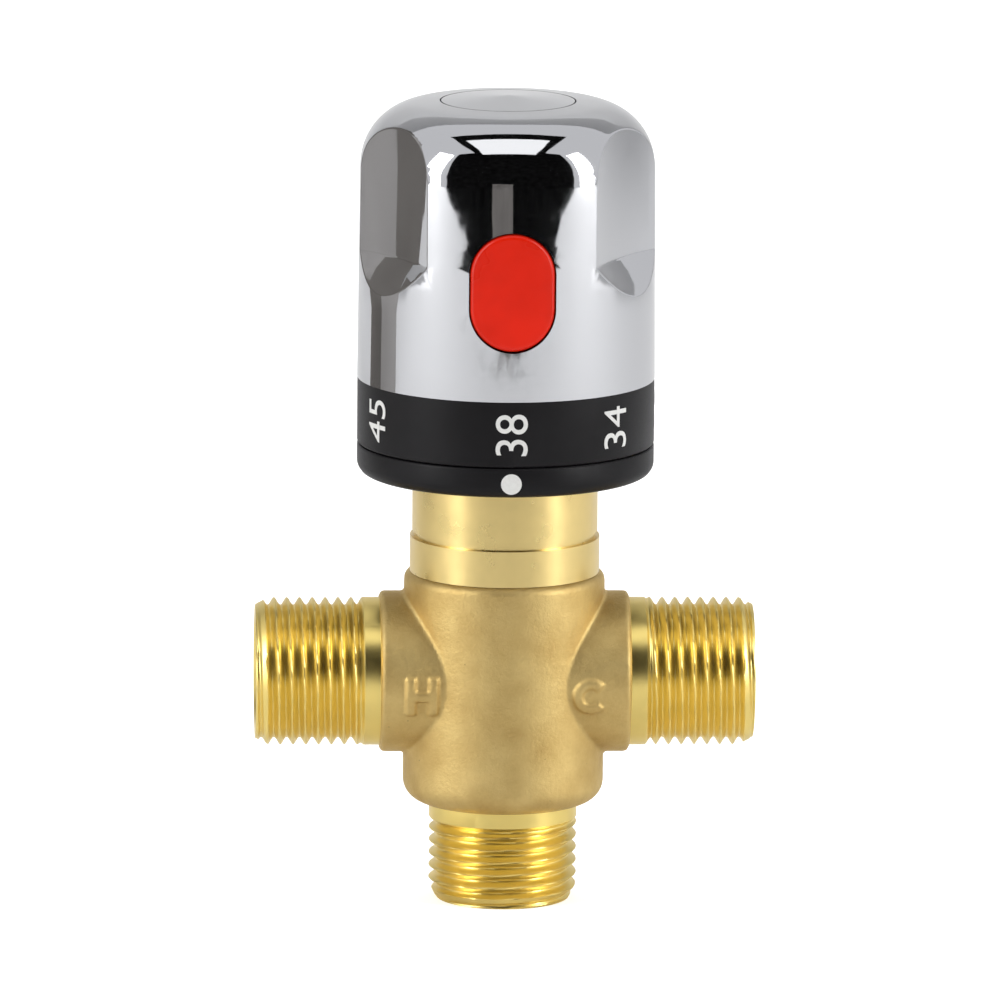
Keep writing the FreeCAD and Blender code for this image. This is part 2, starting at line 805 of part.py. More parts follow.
def windows(name, low):
    """The ring of windows through the cage's wall."""
    width = size("window_width")
    reach = cage_waist_radius + 1
    bars = []
    for number in range(WINDOWS // 2):
        # each bar runs right through and cuts two opposite windows
        bar = box("%s_%d" % (name, number), reach * 2, width, size("window_height"))
        bars.append(bar)
        angle = 2 * math.pi * number / WINDOWS
        out_x, out_y = math.cos(angle), math.sin(angle)
        put(bar, x=width * (0.5 * out_y) - reach * out_x, y=width * (-0.5 * out_x) - reach * out_y, z=low,
            turn=about(Z_AXIS, math.degrees(angle)))
    return fuse(name, *bars)


def make_cage():
    """The cage that the shuttle slides in, with the hot seat in one piece with it."""
    outside = chamber_radius - size("seated_clearance")
    plate_bottom = cage_top - size("cage_plate")
    blank = turned("cage_blank", [
        (cage_bore, chamber_floor), (outside, chamber_floor), (outside, cold_waist_bottom),
        (cage_waist_radius, cold_waist_bottom), (cage_waist_radius, cold_waist_top),
        (outside, cold_waist_top), (outside, hot_waist_bottom), (cage_waist_radius, hot_waist_bottom),
        (cage_waist_radius, hot_waist_top), (outside, hot_waist_top), (outside, cage_top),
        (1, cage_top), (1, plate_bottom), (seat_bore, plate_bottom), (seat_bore, hot_seat_z),
        (cage_bore, hot_seat_z)])
    hole = hexagon("cage_hexagon", size("nut_flats") + size("running_clearance") * 4, size("cage_plate") * 2,
                   z=plate_bottom - size("cage_plate") * 0.5)
    section = size("cage_seal_section")
    grooves = [ring_groove(name + "_groove", chamber_radius, section, level)
               for name, level in cage_seal_levels.items()]
    hot_low = hot_seat_z - size("window_land") - size("window_height")
    cold_low = cold_seat_z + size("window_land")
    piece(cut("cage", blank, hole, windows("hot_windows", hot_low), windows("cold_windows", cold_low),
              *grooves), "cartridge_cage")
    for name, level in cage_seal_levels.items():
        piece(o_ring(name + "_ring", chamber_radius, section, z=level), name)


def make_cold_seat():
    """The sleeve screwed into the cage's foot: the cold seat above, the spring's seat below."""
    outside = cage_bore - size("seated_clearance")
    ledge = chamber_floor + size("spring_seat_height")
    piece(turned("cold_seat_sleeve", [
        (spring_seat_bore, chamber_floor), (outside, chamber_floor), (outside, cold_seat_z),
        (seat_bore, cold_seat_z), (seat_bore, ledge), (spring_seat_bore, ledge)]),
        "cold_seat")


def make_shuttle():
    """The sleeve that opens one seat as it closes the other, carried on spokes by its hub."""
    outside = cage_bore - size("running_clearance")
    top = port_z + shuttle_half
    bottom = port_z - shuttle_half
    web_low = port_z - size("shuttle_web_drop")
    web = size("shuttle_web")
    sleeve = turned("shuttle_sleeve", [
        (shuttle_bore, bottom), (outside, bottom), (outside, top), (shuttle_bore, top)])
    hub = cylinder("shuttle_hub", size("shuttle_hub_radius"), web, z=web_low)
    spokes = []
    reach = (shuttle_bore + outside) * 0.5
    width = size("spoke_width")
    for number in range(SPOKES):
        angle = 2 * math.pi * number / SPOKES
        spokes.append(box("shuttle_spoke_%d" % number, reach, width, web, z=web_low,
                          x=width * (0.5 * math.sin(angle)), y=width * (-0.5 * math.cos(angle)),
                          turn=about(Z_AXIS, math.degrees(angle))))
    hub_bore = cylinder("shuttle_hub_bore", size("element_neck_radius") + size("seated_clearance"), web * 2,
                        z=web_low - web * 0.5)
    groove = ring_groove("shuttle_groove", cage_bore, size("shuttle_seal_section"), port_z)
    wheel = fuse("shuttle_wheel", sleeve, hub, *spokes)
    piece(cut("shuttle_cut", wheel, hub_bore, groove), "shuttle")
    piece(o_ring("shuttle_ring", cage_bore, size("shuttle_seal_section"), z=port_z), "shuttle_seal")


def make_element():
    """The wax element, its push pin, and the spring that returns the shuttle."""
    flange_top = port_z - size("shuttle_web_drop")
    flange_bottom = flange_top - size("element_flange")
    bulb_bottom = flange_bottom - size("element_bulb_length")
    neck_top_z = flange_top + size("element_neck_length")
    guide = size("pin_radius") + size("running_clearance")
    guide_bottom = neck_top_z - size("element_guide_depth")
    bulb = size("element_bulb_radius")
    piece(turned("element", [
        (0, bulb_bottom), (bulb, bulb_bottom, bulb * 0.4), (bulb, flange_bottom),
        (size("element_flange_radius"), flange_bottom), (size("element_flange_radius"), flange_top),
        (size("element_neck_radius"), flange_top), (size("element_neck_radius"), neck_top_z),
        (guide, neck_top_z), (guide, guide_bottom), (0, guide_bottom)]), "wax_element")
    pin_bottom = guide_bottom + size("pin_spare")
    piece(cylinder("pin", size("pin_radius"), pin_top - pin_bottom, z=pin_bottom), "element_pin")
    spring_seat = chamber_floor + size("spring_seat_height")
    piece(spring("shuttle_spring", return_spring_radius, size("return_spring_wire"),
                 flange_top - spring_seat, 4.5, z=spring_seat), "return_spring")


# ---- Adjusting nut and overload spring ----

def make_adjuster():
    """The nut that the spindle raises and lowers, with the sprung cup that takes the pin."""
    pocket = size("nut_pocket_radius")
    bar = hexagon("nut_hexagon", size("nut_flats"), nut_shoulder - nut_bottom, z=nut_bottom)
    barrel = cylinder("nut_barrel", nut_barrel_radius, nut_top - nut_shoulder, z=nut_shoulder)
    pocket_top = nut_top - size("nut_roof")
    groove_radius = pocket + size("clip_bite")
    cup_radius = pocket - size("seated_clearance")
    pocket_form = turned("nut_pocket", [
        (0, nut_bottom - 1), (pocket, nut_bottom - 1), (pocket, clip_bottom), (groove_radius, clip_bottom),
        (groove_radius, cup_bottom), (pocket, cup_bottom), (pocket, pocket_top), (0, pocket_top)])
    piece(cut("nut", fuse("nut_blank", bar, barrel), pocket_form), "adjusting_nut")
    clip_outside = groove_radius - size("seated_clearance")
    piece(turned("clip", [(size("clip_bore"), clip_bottom), (clip_outside, clip_bottom),
                          (clip_outside, cup_bottom), (size("clip_bore"), cup_bottom)]), "overload_clip")
    stem_top = cup_flange_top + size("cup_stem_height")
    hole = size("pin_radius") + size("running_clearance")
    piece(turned("cup", [
        (hole, cup_bottom), (cup_radius, cup_bottom), (cup_radius, cup_flange_top),
        (size("cup_stem_radius"), cup_flange_top), (size("cup_stem_radius"), stem_top), (0, stem_top),
        (0, pin_top), (hole, pin_top)]), "overload_cup")
    piece(spring("overload_coil", size("overload_spring_radius"), size("overload_spring_wire"),
                 pocket_top - cup_flange_top, 6, z=cup_flange_top), "overload_spring")


# ---- Spindle ----

def make_spindle():
    """The spindle: a threaded skirt over the nut, a sealed shaft and a splined end for the knob."""
    thread = nut_barrel_radius + size("running_clearance")
    shaft = size("shaft_radius")
    circlip_floor = shaft - size("circlip_groove_depth")
    hole = size("screw_hole_radius")
    hole_bottom = spindle_top - size("screw_hole_depth")
    root = size("spline_radius") - size("spline_depth")
    blank = turned("spindle_blank", [
        (0, skirt_ceiling), (thread, skirt_ceiling), (thread, skirt_bottom),
        (skirt_radius, skirt_bottom), (skirt_radius, skirt_top),
        (shaft, skirt_top), (shaft, circlip_bottom), (circlip_floor, circlip_bottom),
        (circlip_floor, circlip_top), (shaft, circlip_top), (shaft, shaft_top), (root, shaft_top),
        (root, spindle_top), (0, spindle_top)])
    teeth = splined("spindle_teeth", size("spline_radius"), size("spline_depth"), size("spline_length"),
                    z=shaft_top)
    screw_hole = cylinder("spindle_hole", hole, size("screw_hole_depth") + 1, z=hole_bottom)
    section = size("shaft_seal_section")
    middle = (bonnet_ledge + bonnet_top) * 0.5
    spread = (bonnet_top - bonnet_ledge) * 0.2
    levels = {"spindle_seal_lower": middle - spread, "spindle_seal_upper": middle + spread}
    grooves = [ring_groove(name + "_groove", shaft_bore, section, level) for name, level in levels.items()]
    piece(cut("spindle_cut", fuse("spindle_toothed", blank, teeth), screw_hole, *grooves), "spindle")
    for name, level in levels.items():
        piece(o_ring(name + "_ring", shaft_bore, section, z=level), name)
    clip_inside = circlip_floor + size("seated_clearance")
    ring = turned("circlip_ring", [
        (clip_inside, circlip_bottom), (size("circlip_radius"), circlip_bottom),
        (size("circlip_radius"), circlip_top), (clip_inside, circlip_top)])
    gap = box("circlip_gap", size("circlip_radius") + 1, clip_inside, size("circlip_thick") * 3,
              y=clip_inside * -0.5, z=circlip_bottom - size("circlip_thick"))
    piece(cut("circlip", ring, gap), "spindle_circlip")


# ---- Stop ring, pointer ring and dial ring ----

def make_stop_ring():
    """The ring splined to the bonnet whose rib stops the dial's lug at both ends."""
    plate_top = pointer_seat_top + size("stop_plate")
    collar_top = pointer_seat_top + size("stop_collar_height")
    tip = stop_seat_radius + size("running_clearance")
    plate = cylinder("stop_plate_disc", stop_plate_radius, plate_top - pointer_seat_top,
                     z=pointer_seat_top)
    collar = cylinder("stop_collar", stop_seat_radius + size("stop_collar_wall"),
                      collar_top - pointer_seat_top, z=pointer_seat_top)
    start = size("hotter_angle") + size("lug_angle") * 0.5 + 90 + size("stop_gap_angle")
    height = size("stop_rib_height")
    rib = sector("stop_rib_slice", rib_radius, height, size("stop_rib_angle"),
                 z=pointer_seat_top, turn=about(Z_AXIS, start.value))
    inner = cylinder("stop_rib_inside", stop_plate_radius - size("stop_rib_overlap"), height * 2,
                     z=pointer_seat_top - height * 0.5)
    bore = splined("stop_bore", tip, size("spline_depth"), collar_top - pointer_seat_top + 2,
                   z=pointer_seat_top - 1)
    whole = fuse("stop_whole", cut("stop_rib", rib, inner), plate, collar)
    piece(cut("stop_cut", whole, bore), "stop_ring")


def make_pointer_ring():
    """The fixed ring that carries the dot, on the bonnet's shoulder."""
    inside = knob_radius - size("pointer_rim")
    web_top_z = neck_top + size("pointer_web")
    bore = pointer_seat_radius + size("seated_clearance")
    piece(turned("pointer", [
        (bore, neck_top), (knob_radius, neck_top, size("pointer_foot_round")),
        (knob_radius, pointer_top, size("ring_edge_round")), (inside, pointer_top), (inside, web_top_z),
        (bore, web_top_z)]), "pointer_ring")


def make_dial_ring():
    """The ring with the scale, which turns with the knob, and its lug for the stop ring."""
    spigot = knob_inside - size("seated_clearance")
    spigot_top = dial_top + size("dial_spigot_height")
    ring = turned("dial", [
        (dial_inside, dial_bottom), (knob_radius, dial_bottom, size("ring_edge_round")),
        (knob_radius, dial_top), (spigot, dial_top), (spigot, spigot_top), (dial_inside, spigot_top)])
    lug_bottom = dial_bottom + size("running_clearance") * 5
    lug_start = 90 - size("lug_angle").value / 2
    lug_outside = (dial_inside + knob_radius) * 0.5
    slice_ = sector("dial_lug_slice", lug_outside, size("lug_height"), size("lug_angle"), z=lug_bottom,
                    turn=about(Z_AXIS, lug_start))
    inner = cylinder("dial_lug_inside", lug_radius, size("lug_height") * 2,
                     z=lug_bottom - size("lug_height") * 0.5)
    piece(fuse("dial_whole", ring, cut("dial_lug", slice_, inner)), "dial_ring")


# ---- Knob ----

def flute_tools(name, offset):
    """The cutters of the finger flutes, moved in towards the knob's axis by a wall's thickness."""
    curve = size("flute_curve_radius") + offset
    axis = knob_radius - size("flute_depth") + size("flute_curve_radius")
    low = dial_top + size("flute_rise") - offset
    ramp_in = curve - size("flute_ramp_depth")
    ramp_low = low - size("flute_ramp_height")
    above = knob_top + 5
    cutters = []
    for number in range(FLUTES):
        angle = 2 * math.pi * number / FLUTES + math.pi / 2
        cutters.append(turned("%s_%d" % (name, number), [
            (ramp_in, ramp_low), (curve, low, size("flute_round")), (curve, above), (ramp_in, above)],
            x=axis * math.cos(angle), y=axis * math.sin(angle)))
    return cutters


def knob_dome(name, wall, bottom):
    """The knob's round outer form, or the form a wall's thickness inside it."""
    top = knob_top - wall
    return turned(name, [
        (0, bottom), (knob_radius - wall, bottom),
        (knob_radius - size("waist_lean") - wall, knob_top - size("waist_drop") - wall * 0.6,
         size("waist_round") - wall),
        (shoulder_radius - wall, top - size("crown_drop"), size("shoulder_round") - wall),
        (0, top)])


def stadium(name, wide, tall, near, far):
    """A bar towards the front with a round-ended section, at the button's height."""
    deep = far - near
    straight = tall - wide
    middle = box(name + "_middle", wide, deep, straight, x=wide * -0.5, y=-far,
                 z=button_z - straight * 0.5)
    ends = [cylinder("%s_end_%d" % (name, side), wide * 0.5, deep, y=-near,
                     z=button_z + straight * (0.5 * side), turn=TO_FRONT) for side in (-1, 1)]
    return fuse(name, middle, *ends)


def make_knob():
    """The chromed knob: a fluted shell with a splined hub, open below."""
    outer = cut("knob_fluted", knob_dome("knob_dome", as_length(0), dial_top),
                *flute_tools("knob_flute", as_length(0)))
    side = knob_radius.value
    flute_floor = side - size("flute_depth").value

    def is_flute_edge(edge):
        middle = edge.valueAt((edge.FirstParameter + edge.LastParameter) / 2)
        reach = math.hypot(middle.x, middle.y)
        return flute_floor * 0.5 < reach < side - 0.01 and "BSpline" in edge.Curve.TypeId

    edged = round_edges("knob_edged", outer, size("flute_edge_round"), is_flute_edge)
    wall = size("knob_wall")
    cavity = cut("knob_cavity", knob_dome("knob_inside", wall, dial_top - 1),
                 *flute_tools("knob_inner_flute", wall))
    shell = cut("knob_hollow", edged, cavity)
    hub_low = dial_top + size("hub_rise")
    hub = cylinder("knob_hub", size("spline_radius") + size("hub_wall"), knob_top - wall * 0.9 - hub_low,
                   z=hub_low)
    pad = cylinder("knob_spring_pad", pad_radius, pad_face - shaft_bore, y=-shaft_bore, z=button_z,
                   turn=TO_FRONT)
    post = cylinder("knob_post", size("post_radius"), post_tip - shaft_bore, y=-shaft_bore, z=button_z,
                    turn=TO_FRONT)
    bore_low = hub_low - 1
    bore = splined("knob_bore", size("spline_radius") + size("running_clearance"), size("spline_depth"),
                   web_bottom - bore_low, z=bore_low)
    well = turned("knob_well", [
        (0, web_top), (well_radius, web_top), (well_radius, cap_bottom),
        (size("cap_recess_radius"), cap_bottom), (size("cap_recess_radius"), knob_top + 1),
        (0, knob_top + 1)])
    screw_way = cylinder("knob_screw_way", size("screw_hole_radius") + size("seated_clearance") * 4,
                         size("hub_web") * 2, z=web_bottom - size("hub_web") * 0.5)
    around = size("button_gap") * 2
    window = stadium("button_window", size("button_wide") + around, size("button_tall") + around,
                     stem_end, knob_radius + 2)
    window_shell = cut("knob_windowed", shell, window)
    whole = fuse("knob_whole", window_shell, hub, pad, post)
    piece(cut("knob", whole, bore, well, screw_way), "knob_shell")


def make_knob_cap():
    """The disc that closes the knob's screw well, held by a skirt in the well."""
    edge = size("cap_recess_radius") - size("cap_gap")
    drop = size("crown_drop") * (size("cap_recess_radius").value / shoulder_radius.value)
    skirt = well_radius - size("seated_clearance")
    skirt_inside = skirt - size("cap_skirt_wall")
    skirt_bottom_z = cap_bottom - size("cap_skirt_height")
    piece(turned("cap", [
        (0, cap_bottom), (skirt_inside, cap_bottom), (skirt_inside, skirt_bottom_z),
        (skirt, skirt_bottom_z), (skirt, cap_bottom), (edge, cap_bottom), (edge, knob_top - drop),
        (0, knob_top)]), "knob_cap")


def make_knob_screw():
    """The screw that holds the knob to the spindle."""
    head_top = web_top + size("screw_head_height")
    shank = size("screw_hole_radius") - size("seated_clearance")
    head = size("screw_head_radius")
    blank = turned("screw_blank", [
        (0, web_top - size("screw_length")), (shank, web_top - size("screw_length")), (shank, web_top),
        (head, web_top), (head, head_top, size("screw_head_height") * 0.3), (0, head_top)])
    socket = hexagon("screw_socket", size("screw_drive_radius") * 1.732, size("screw_drive_depth") + 1,
                     z=head_top - size("screw_drive_depth"))
    piece(cut("screw", blank, socket), "knob_screw")


# ---- Button ----

def make_button():
    """The red override button, with its flange, hollow stem and catch leg, and its spring."""
    lip = size("button_flange_lip")
    head = stadium("button_head", size("button_wide"), size("button_tall"), flange_back, knob_radius + 1)
    face = cylinder("button_face", knob_radius, size("button_tall") * 2,
                    z=button_z - size("button_tall"))
    crowned = common("button_crowned", head, face)
    front = -knob_radius.value

    def is_face_edge(edge):
        return edge.BoundBox.YMin < front * 0.9 and edge.BoundBox.YMax < front * 0.9

    eased = round_edges("button_eased", crowned, size("button_round"), is_face_edge)
    flange = stadium("button_flange", size("button_wide") + lip * 2, size("button_tall") + lip * 2,
                     flange_back, flange_front)
    stem_bore = size("post_radius") + size("running_clearance")
    stem_radius = stem_bore + size("stem_wall")
    stem = cylinder("button_stem", stem_radius, flange_back - stem_end, y=-stem_end, z=button_z,
                    turn=TO_FRONT)
    stem_hole = cylinder("button_stem_hole", stem_bore, flange_front - stem_end, y=-stem_end, z=button_z,
                         turn=TO_FRONT)
    leg_bottom = rib_top + size("catch_gap")
    leg_top = button_z - pad_radius
    leg = box("button_leg", size("catch_width"), size("button_flange"), leg_top - leg_bottom,
              x=size("catch_width") * -0.5, y=-catch_front, z=leg_bottom)
    piece(cut("button", fuse("button_whole", eased, flange, stem, leg), stem_hole), "red_button")
    piece(spring("button_coil", size("button_spring_radius"), size("button_spring_wire"),
                 flange_back - pad_face, 5, y=-pad_face, z=button_z, turn=TO_FRONT), "button_spring")


# ---- Check valve and strainer of an inlet ----

def inlet_at(turn, out):
    """Where a piece that starts this far out along an inlet goes."""
    side = 1 if turn == TO_COLD else -1
    return {"x": out * side, "z": port_z, "turn": turn}


def make_check_cage(side, turn):
    """The check valve's cage: its seat at the outer end, the stem's hub at the inner end."""
    outside = size("port_bore") - size("seated_clearance")
    length = size("check_length")
    seat_inner = length - size("check_seat")
    tube = turned(side + "_check_tube", [
        (check_bore, 0), (outside, 0), (outside, length), (check_seat_bore, length),
        (check_seat_bore, seat_inner), (check_bore, seat_inner)], **inlet_at(turn, check_inner))
    groove = ring_groove(side + "_check_groove", size("port_bore"), size("check_seal_section"),
                         size("check_seal_place"))
    put(groove, **inlet_at(turn, check_inner))
    hub_length = size("check_hub_length")
    hub = cylinder(side + "_check_hub", size("check_hub_radius"), hub_length,
                   **inlet_at(turn, check_inner))
    width = size("check_spoke")
    reach = (check_bore + outside) * 0.5
    spoke_place = inlet_at(turn, check_inner)
    bars = []
    for number in range(2):
        wide, deep = (reach * 2, width) if number == 0 else (width, reach * 2)
        bar = box("%s_check_bar_%d" % (side, number), wide, deep, hub_length)
        shift = wide * (-0.5 if turn == TO_HOT else 0.5)
        put(bar, x=spoke_place["x"], y=deep * -0.5, z=port_z + shift, turn=turn)
        bars.append(bar)
    guide = cylinder(side + "_check_guide", size("poppet_stem_radius") + size("running_clearance"),
                     hub_length * 2, **inlet_at(turn, check_inner - hub_length * 0.5))
    whole = fuse(side + "_check_whole", cut(side + "_check_grooved", tube, groove), hub, *bars)
    piece(cut(side + "_check", whole, guide), side + "_check_cage")
    piece(o_ring(side + "_check_ring", size("port_bore"), size("check_seal_section"),
                 **inlet_at(turn, check_inner + size("check_seal_place"))), side + "_check_seal")


def make_poppet(side, turn):
    """The check valve's poppet, shut on its seat, and its spring."""
    disc = size("poppet_disc")
    stem_length = size("check_length") - size("check_seat") - disc - size("check_hub_length")
    stem_length = stem_length + size("poppet_stem_spare")
    stem = size("poppet_stem_radius")
    start = check_inner + size("check_hub_length") - size("poppet_stem_spare")
    disc_end = stem_length + disc - size("seated_clearance")
    piece(turned(side + "_poppet_turned", [
        (0, 0), (stem, 0), (stem, stem_length), (poppet_radius, stem_length), (poppet_radius, disc_end),
        (0, disc_end)], **inlet_at(turn, start)), side + "_check_poppet")
    hub_end = check_inner + size("check_hub_length")
    piece(spring(side + "_check_coil", size("check_spring_radius"), size("check_spring_wire"),
                 stem_length - size("poppet_stem_spare"), 4, **inlet_at(turn, hub_end)),
          side + "_check_spring")


def make_strainer(side, turn):
    """The strainer in front of the check valve: a rim with a perforated disc."""
    outside = size("port_bore") - size("seated_clearance")
    inside = outside - size("strainer_rim_wall")
    mesh = size("strainer_mesh")
    rim = size("strainer_rim")
    body = turned(side + "_strainer_body", [
        (0, 0), (outside, 0), (outside, rim), (inside, rim), (inside, mesh), (0, mesh)])
    tip = body.Tip
    for ring in range(3):
        tip = add_holes(body, "%s_strainer_holes_%d" % (side, ring), ring)
    body.Tip = tip
    start = check_inner + size("check_length") + size("strainer_gap")
    put(body, **inlet_at(turn, start))
    piece(body, side + "_strainer")


def add_holes(body, name, ring):
    """One ring of the strainer's holes: one in the middle, then six for each ring out."""
    sketch = add_sketch(body, name + "_sketch", "XY_Plane")
    out = size("strainer_pitch") * ring
    sketch.addGeometry(Part.Circle(Vector(out.value, 0, 0), Z_AXIS, size("strainer_hole").value))
    fix_point(sketch, 0, 3, out, as_length(0))
    index = sketch.addConstraint(Sketcher.Constraint("Radius", 0, size("strainer_hole").value))
    sketch.setExpression("Constraints[%d]" % index, size("strainer_hole").text)
    pocket = body.newObject("PartDesign::Pocket", name + "_pocket")
    pocket.Profile = sketch
    pocket.Type = "ThroughAll"
    pocket.SideType = "Symmetric"
    body.Tip = pocket
    if ring == 0:
        return pocket
    pattern = body.newObject("PartDesign::PolarPattern", name)
    pattern.Originals = [pocket]
    pattern.Axis = (origin_part(body, "Z_Axis"), [""])
    pattern.Angle = 360
    pattern.Occurrences = 6 * ring
    body.Tip = pattern
    return pattern


# ---- The whole valve ----

def check_document():
    """Stops the build if an object failed or a sub-part is empty or broken."""
    doc.recompute()
    for thing in doc.Objects:
        if "Invalid" in thing.State or "Error" in thing.State:
            raise RuntimeError("%s (%s) failed: %s" % (thing.Name, thing.Label, thing.State))
    for solid in PIECES:
        if solid.Shape.isNull() or not solid.Shape.isValid() or len(solid.Shape.Solids) != 1:
            raise RuntimeError("%s has no sound solid" % solid.Label)


def export_pieces():
    """Writes each sub-part's shape to a file of its own."""
    os.makedirs("parts", exist_ok=True)
    for solid in PIECES:
        solid.Shape.exportStep("parts/%s.step" % solid.Label)
        print("%-20s %9.1f mm3" % (solid.Label, solid.Shape.Volume))


make_body()
make_bonnet()
make_cage()
make_cold_seat()
make_shuttle()
make_element()
make_adjuster()
make_spindle()
make_stop_ring()
make_pointer_ring()
make_dial_ring()
make_knob()
make_knob_cap()
make_knob_screw()
make_button()
for inlet, inlet_turn in (("hot", TO_HOT), ("cold", TO_COLD)):
    make_check_cage(inlet, inlet_turn)
    make_poppet(inlet, inlet_turn)
    make_strainer(inlet, inlet_turn)
check_document()
export_pieces()
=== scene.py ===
import json
import math

import bpy
from bpy.props import FloatProperty, FloatVectorProperty, PointerProperty
from mathutils import Matrix, Vector

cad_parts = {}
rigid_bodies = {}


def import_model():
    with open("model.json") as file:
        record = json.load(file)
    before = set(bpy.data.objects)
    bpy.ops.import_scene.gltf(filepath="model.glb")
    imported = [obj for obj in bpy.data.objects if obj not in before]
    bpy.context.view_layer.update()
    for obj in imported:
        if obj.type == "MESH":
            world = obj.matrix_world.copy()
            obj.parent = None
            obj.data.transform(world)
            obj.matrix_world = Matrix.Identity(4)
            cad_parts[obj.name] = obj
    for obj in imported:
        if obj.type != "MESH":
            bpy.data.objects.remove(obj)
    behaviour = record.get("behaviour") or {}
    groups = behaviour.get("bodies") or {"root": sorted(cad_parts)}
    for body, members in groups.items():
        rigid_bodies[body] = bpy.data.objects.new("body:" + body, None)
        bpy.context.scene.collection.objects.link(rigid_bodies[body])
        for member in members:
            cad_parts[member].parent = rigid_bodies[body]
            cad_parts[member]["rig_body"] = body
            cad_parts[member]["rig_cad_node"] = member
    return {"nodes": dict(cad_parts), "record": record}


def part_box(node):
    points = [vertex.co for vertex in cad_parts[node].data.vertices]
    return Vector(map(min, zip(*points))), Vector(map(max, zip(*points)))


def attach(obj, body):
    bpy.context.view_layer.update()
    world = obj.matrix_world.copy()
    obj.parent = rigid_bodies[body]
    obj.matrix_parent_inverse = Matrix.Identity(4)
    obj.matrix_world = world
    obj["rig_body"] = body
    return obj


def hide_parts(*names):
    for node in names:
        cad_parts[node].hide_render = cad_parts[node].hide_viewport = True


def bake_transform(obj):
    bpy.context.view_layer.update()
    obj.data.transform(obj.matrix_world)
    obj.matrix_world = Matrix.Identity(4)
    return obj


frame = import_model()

bl_info = {
    "name": "Thermostatic mixing valve",
    "version": (1, 0, 0),
    "blender": (4, 5, 0),
    "location": "View3D > Sidebar > Valve",
    "description": "Dresses the mixing valve: casting, threads, scale, finishes and studio",
    "category": "Object",
}

MM = 0.001
FULL_TURN = 2 * math.pi
CUT_TOLERANCE = 1e-7                # metres within which a cut's plane counts as through a vertex
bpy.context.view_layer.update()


def corner(node, end):
    """The lowest (0) or highest (1) corner of a CAD node."""
    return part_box(node)[end]


def mount(name):
    """One mount of the record."""
    return next(item for item in frame["record"]["mounts"] if item["name"] == name)


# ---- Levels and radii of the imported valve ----

BODY_TOP = corner("valve_body", 1).z
BODY_RADIUS = corner("valve_body", 1).y
PORT_REACH = corner("valve_body", 1).x
PORT_Z = mount("cold_inlet")["pos_m"][2]
THREAD_RADIUS = mount("cold_inlet")["dims"]["r_mm"] * MM
CHECK_INNER = corner("cold_check_cage", 0).x
CAGE_RADIUS = corner("cartridge_cage", 1).y
CAGE_BOTTOM = corner("cartridge_cage", 0).z
CAGE_TOP = corner("cartridge_cage", 1).z
RING_RADIUS = corner("dial_ring", 1).x
DIAL_BOTTOM = corner("dial_ring", 0).z
DIAL_TOP = corner("knob_shell", 0).z
POINTER_BOTTOM = corner("pointer_ring", 0).z
POINTER_TOP = corner("pointer_ring", 1).z


def to_linear(code):
    """An sRGB hex value as linear red, green and blue."""
    channels = [int(code[place:place + 2], 16) / 255 for place in (1, 3, 5)]
    return tuple(value / 12.92 if value <= 0.04045 else ((value + 0.055) / 1.055) ** 2.4
                 for value in channels)


def length_prop(name, description, default_mm):
    """A length the user can change."""
    return FloatProperty(name=name, description=description, default=default_mm * MM, unit="LENGTH",
                         precision=5)


def colour_prop(name, description, code):
    """A colour the user can change."""
    return FloatVectorProperty(name=name, description=description, default=to_linear(code), size=3,
                               min=0, max=1, subtype="COLOR")


class ValveSizes(bpy.types.PropertyGroup):
    """Sizes of what is modelled here."""

    pitch: length_prop("Thread pitch", "Pitch of the pipe threads, 14 to the inch", 1.814)
    thread_depth: length_prop("Thread depth", "From crest to root", 1.08)
    collar: length_prop("Collar", "Plain turned collar between each thread and the casting", 2.3)
    end_chamfer: length_prop("End chamfer", "How far the first crests are turned down", 1.0)
    cast_grain: length_prop("Cast edge", "Size of the smallest edge that the sand mould gives", 0.26)
    mouth_chamfer: length_prop("Mouth chamfer", "Broken edge of each waterway's mouth", 0.5)
    boss_reach: length_prop("Boss reach", "Casting's ends, from the valve's axis", 17.6)
    outlet_length: length_prop("Outlet length", "From the outlet's end to the casting", 14.1)
    waterway: length_prop("Waterway", "Radius of the three waterways", 7.5)
    numeral_height: length_prop("Numeral height", "Cap height of the numbers on the scale", 4.7)
    dot: length_prop("Dot", "Diameter of the white dot on the fixed ring", 2.9)
    ink: length_prop("Ink", "Thickness of the printed numbers and the dot", 0.03)


class ValveColours(bpy.types.PropertyGroup):
    """Colours of the valve's finishes."""

    cast: colour_prop("Cast brass", "Tumbled sand casting, a dull tan gold", "#D6BC7D")
    cast_dark: colour_prop("Cast brass, low", "Tarnish in the low places of the casting", "#C6A96B")
    turned: colour_prop("Turned brass", "Freshly turned brass", "#E9D08C")
    # Painted light: the same brass as the turned faces, made brighter and yellower to stand for light
    # bouncing between the thread's flanks
    thread: colour_prop("Threaded brass", "Cut threads, yellower than the turned faces", "#F3DA84")
    plate: colour_prop("Chrome", "Bright chromium plate", "#CDCED1")
    black: colour_prop("Black ABS", "Satin moulded rings", "#151416")
    red: colour_prop("Red ABS", "Override button", "#DE2006")
    ink: colour_prop("White ink", "Pad-printed numbers and dot", "#E2E2DF")
    acetal: colour_prop("White acetal", "Check valves and stop ring", "#E4E3DC")
    polymer: colour_prop("Grey polymer", "Glass-filled cartridge parts", "#85888C")
    rubber: colour_prop("Rubber", "Seals", "#161616")
    steel: colour_prop("Stainless steel", "Springs and small steel parts", "#B9BCC0")
    floor: colour_prop("Floor", "Floor and backdrop", "#E4E4E4")


def sizes():
    """The scene's sizes."""
    return bpy.context.scene.valve_sizes


def colours():
    """The scene's colours."""
    return bpy.context.scene.valve_colours


# ---- Working with objects and edit mode ----

def deselect():
    """Nothing selected and no object in edit mode."""
    if bpy.context.mode != "OBJECT":
        bpy.ops.object.mode_set(mode="OBJECT")
    bpy.ops.object.select_all(action="DESELECT")


